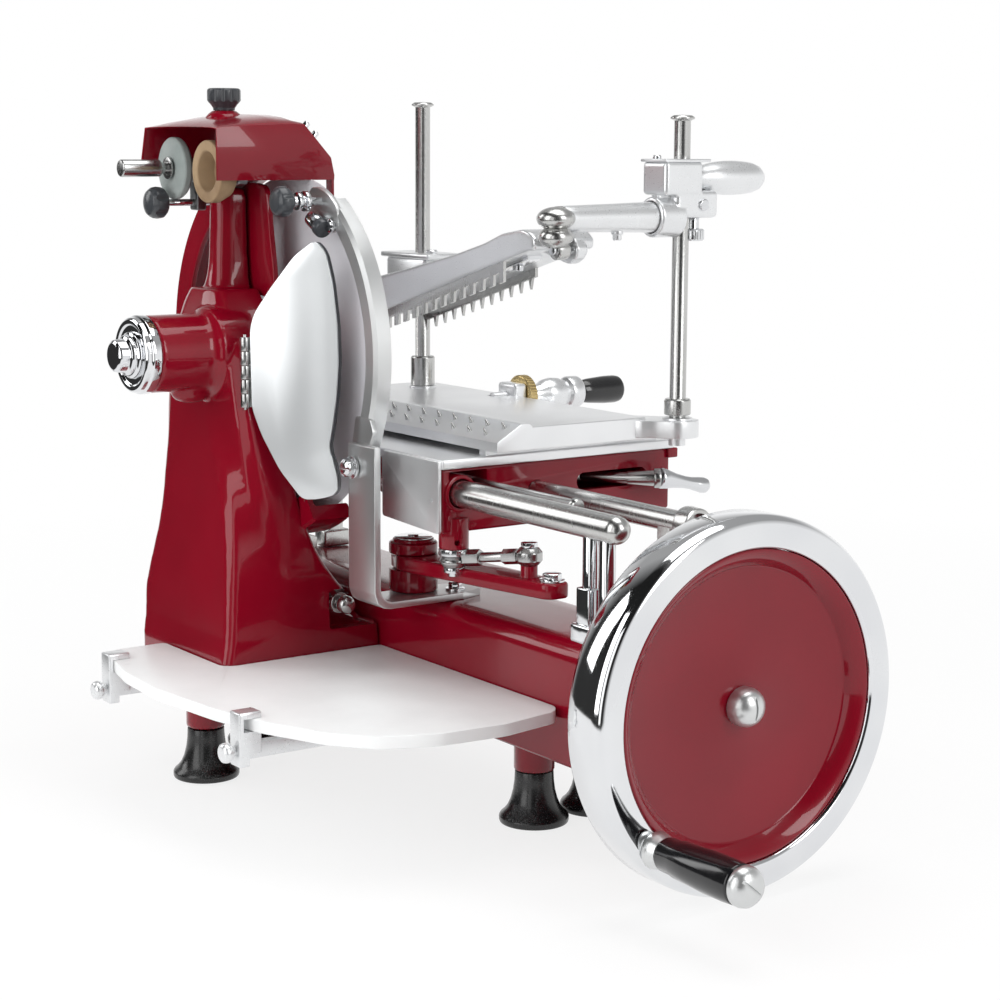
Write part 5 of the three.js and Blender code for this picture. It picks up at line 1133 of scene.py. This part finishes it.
def makeCamera():
    data = bpy.data.cameras.new("photo_camera")
    data.sensor_width = 36
    data.sensor_fit = "HORIZONTAL"
    data.lens = view["lens"]
    data.clip_end = 50
    camera = bpy.data.objects.new("photo_camera", data)
    bpy.context.scene.collection.objects.link(camera)
    az, el = math.radians(view["azimuth"]), math.radians(view["elevation"])
    forward = Vector((-math.sin(az) * math.cos(el), math.cos(az) * math.cos(el), -math.sin(el)))
    turn = forward.to_track_quat("-Z", "Y").to_matrix().to_4x4() @ Matrix.Rotation(math.radians(view["roll"]), 4, "Z")
    camera.matrix_world = Matrix.Translation(toRow @ Vector(view["place"])) @ turn
    bpy.context.scene.camera = camera


def makeLamp(name, place, target, size, power):
    data = bpy.data.lights.new(name, "AREA")
    data.shape = "RECTANGLE"
    data.size, data.size_y = size
    data.energy = power
    lamp = bpy.data.objects.new(name, data)
    bpy.context.scene.collection.objects.link(lamp)
    aim = Vector(target) - Vector(place)
    lamp.matrix_world = Matrix.Translation(place) @ aim.to_track_quat("-Z", "Y").to_matrix().to_4x4()


def combined(tree, operation, first, *others):  # runs a math node over two or more values
    for value in others:
        node = tree.nodes.new("ShaderNodeMath")
        node.operation = operation
        tree.links.new(first, node.inputs[0])
        tree.links.new(value, node.inputs[1])
        first = node.outputs["Value"]
    return first


def mixed(tree, share, first, second):  # mixes two shaders
    node = tree.nodes.new("ShaderNodeMixShader")
    tree.links.new(share, node.inputs["Fac"])
    tree.links.new(first, node.inputs[1])
    tree.links.new(second, node.inputs[2])
    return node.outputs["Shader"]


def glow(tree, kind, strength=1.0):  # a white background or emission node
    node = tree.nodes.new(kind)
    node.inputs["Color"].default_value = (1, 1, 1, 1)
    node.inputs["Strength"].default_value = strength
    return node


room = {"floor": 12, "fill": 0.6, "dimSide": 2, "dim": 0.035, "shadow": (0.80, 1.0), "fade": (0.7, 1.6),
        "mirrorFade": (0.95, 1.05), "dimFade": (-0.05, 0.25), "high": 0.4, "highFade": (0.16, 0.5), "floorGrey": 0.88,
        "floorRough": 0.6, "floorDrop": 0.0005}
lamps = (  # name, place, target, size in metres, power in watts
    ("key_soft_box", (0.1, -2.5, 1.2), (0, 0, 0.4), (1.4, 2.6), 29),
    ("right_soft_box", (2.6, 0.5, 1.6), (0, 0, 0.3), (0.9, 1.8), 24),
    ("left_soft_box", (-2.2, -1.6, 1.5), (0, 0, 0.3), (0.9, 1.8), 16),
    ("top_soft_box", (0, 0.3, 2.6), (0, 0, 0.2), (2.0, 1.4), 26),
    ("edge_strip", (1.3, -2.1, 0.75), (0, 0, 0.4), (0.7, 2.0), 6),
)


def makeWorld():  # white to the camera; reflections see a bright sweep behind and a dim room before the object
    world = bpy.data.worlds.new("studio")
    bpy.context.scene.world = world
    world.use_nodes = True
    tree = world.node_tree
    plain = tree.nodes["Background"]
    plain.inputs["Color"].default_value = (1, 1, 1, 1)
    place = tree.nodes.new("ShaderNodeTexCoord")
    side = tree.nodes.new("ShaderNodeVectorMath")
    side.operation = "DOT_PRODUCT"
    az = math.radians(room["dimSide"])
    side.inputs[1].default_value = (math.sin(az), -math.cos(az), 0)
    split = tree.nodes.new("ShaderNodeSeparateXYZ")
    tree.links.new(place.outputs["Generated"], side.inputs[0])
    tree.links.new(place.outputs["Generated"], split.inputs["Vector"])
    sweep = spread(tree, side.outputs["Value"], 1.0, room["dim"], *room["dimFade"])
    high = spread(tree, split.outputs["Z"], 1.0, room["high"], *room["highFade"])
    mirrored = glow(tree, "ShaderNodeBackground")
    tree.links.new(combined(tree, "MULTIPLY", sweep, high), mirrored.inputs["Strength"])
    rays = tree.nodes.new("ShaderNodeLightPath").outputs
    fill = glow(tree, "ShaderNodeBackground", room["fill"])
    lit = mixed(tree, rays["Is Glossy Ray"], fill.outputs[0], mirrored.outputs[0])
    seen = combined(tree, "MAXIMUM", rays["Is Camera Ray"], rays["Is Transmission Ray"])
    tree.links.new(mixed(tree, seen, lit, plain.outputs[0]), tree.nodes["World Output"].inputs["Surface"])


def makeFloor():
    bm = bmesh.new()
    bmesh.ops.create_grid(bm, x_segments=1, y_segments=1, size=room["floor"])
    mesh = bpy.data.meshes.new("floor")
    bm.to_mesh(mesh)
    bm.free()
    floor = bpy.data.objects.new("floor", mesh)
    bpy.context.scene.collection.objects.link(floor)
    floor.location.z = -room["floorDrop"]
    material, tree, shader = shaderOf("pale_floor")
    shader.inputs["Base Color"].default_value = (*[room["floorGrey"]] * 3, 1)
    shader.inputs["Roughness"].default_value = room["floorRough"]
    place = tree.nodes.new("ShaderNodeTexCoord")
    reach = tree.nodes.new("ShaderNodeVectorMath")
    reach.operation = "LENGTH"
    tree.links.new(place.outputs["Object"], reach.inputs[0])
    fade = spread(tree, reach.outputs["Value"], *room["shadow"], *room["fade"])
    rays = tree.nodes.new("ShaderNodeLightPath").outputs
    seen = combined(tree, "MAXIMUM", rays["Is Camera Ray"], rays["Is Glossy Ray"], rays["Is Transmission Ray"])
    near = mixed(tree, combined(tree, "MULTIPLY", seen, fade), shader.outputs["BSDF"],
                 glow(tree, "ShaderNodeEmission").outputs[0])
    clear = tree.nodes.new("ShaderNodeBsdfTransparent")  # far off, reflections see the room itself
    away = combined(tree, "MULTIPLY", rays["Is Glossy Ray"],
                    spread(tree, reach.outputs["Value"], 0.0, 1.0, *room["mirrorFade"]))
    tree.links.new(mixed(tree, away, near, clear.outputs["BSDF"]), tree.nodes["Material Output"].inputs["Surface"])
    mesh.materials.append(material)


makeCamera()
makeWorld()
makeFloor()
for lamp in lamps:
    makeLamp(*lamp)
bpy.context.scene.view_settings.view_transform = "Standard"
print("camera, light and floor")
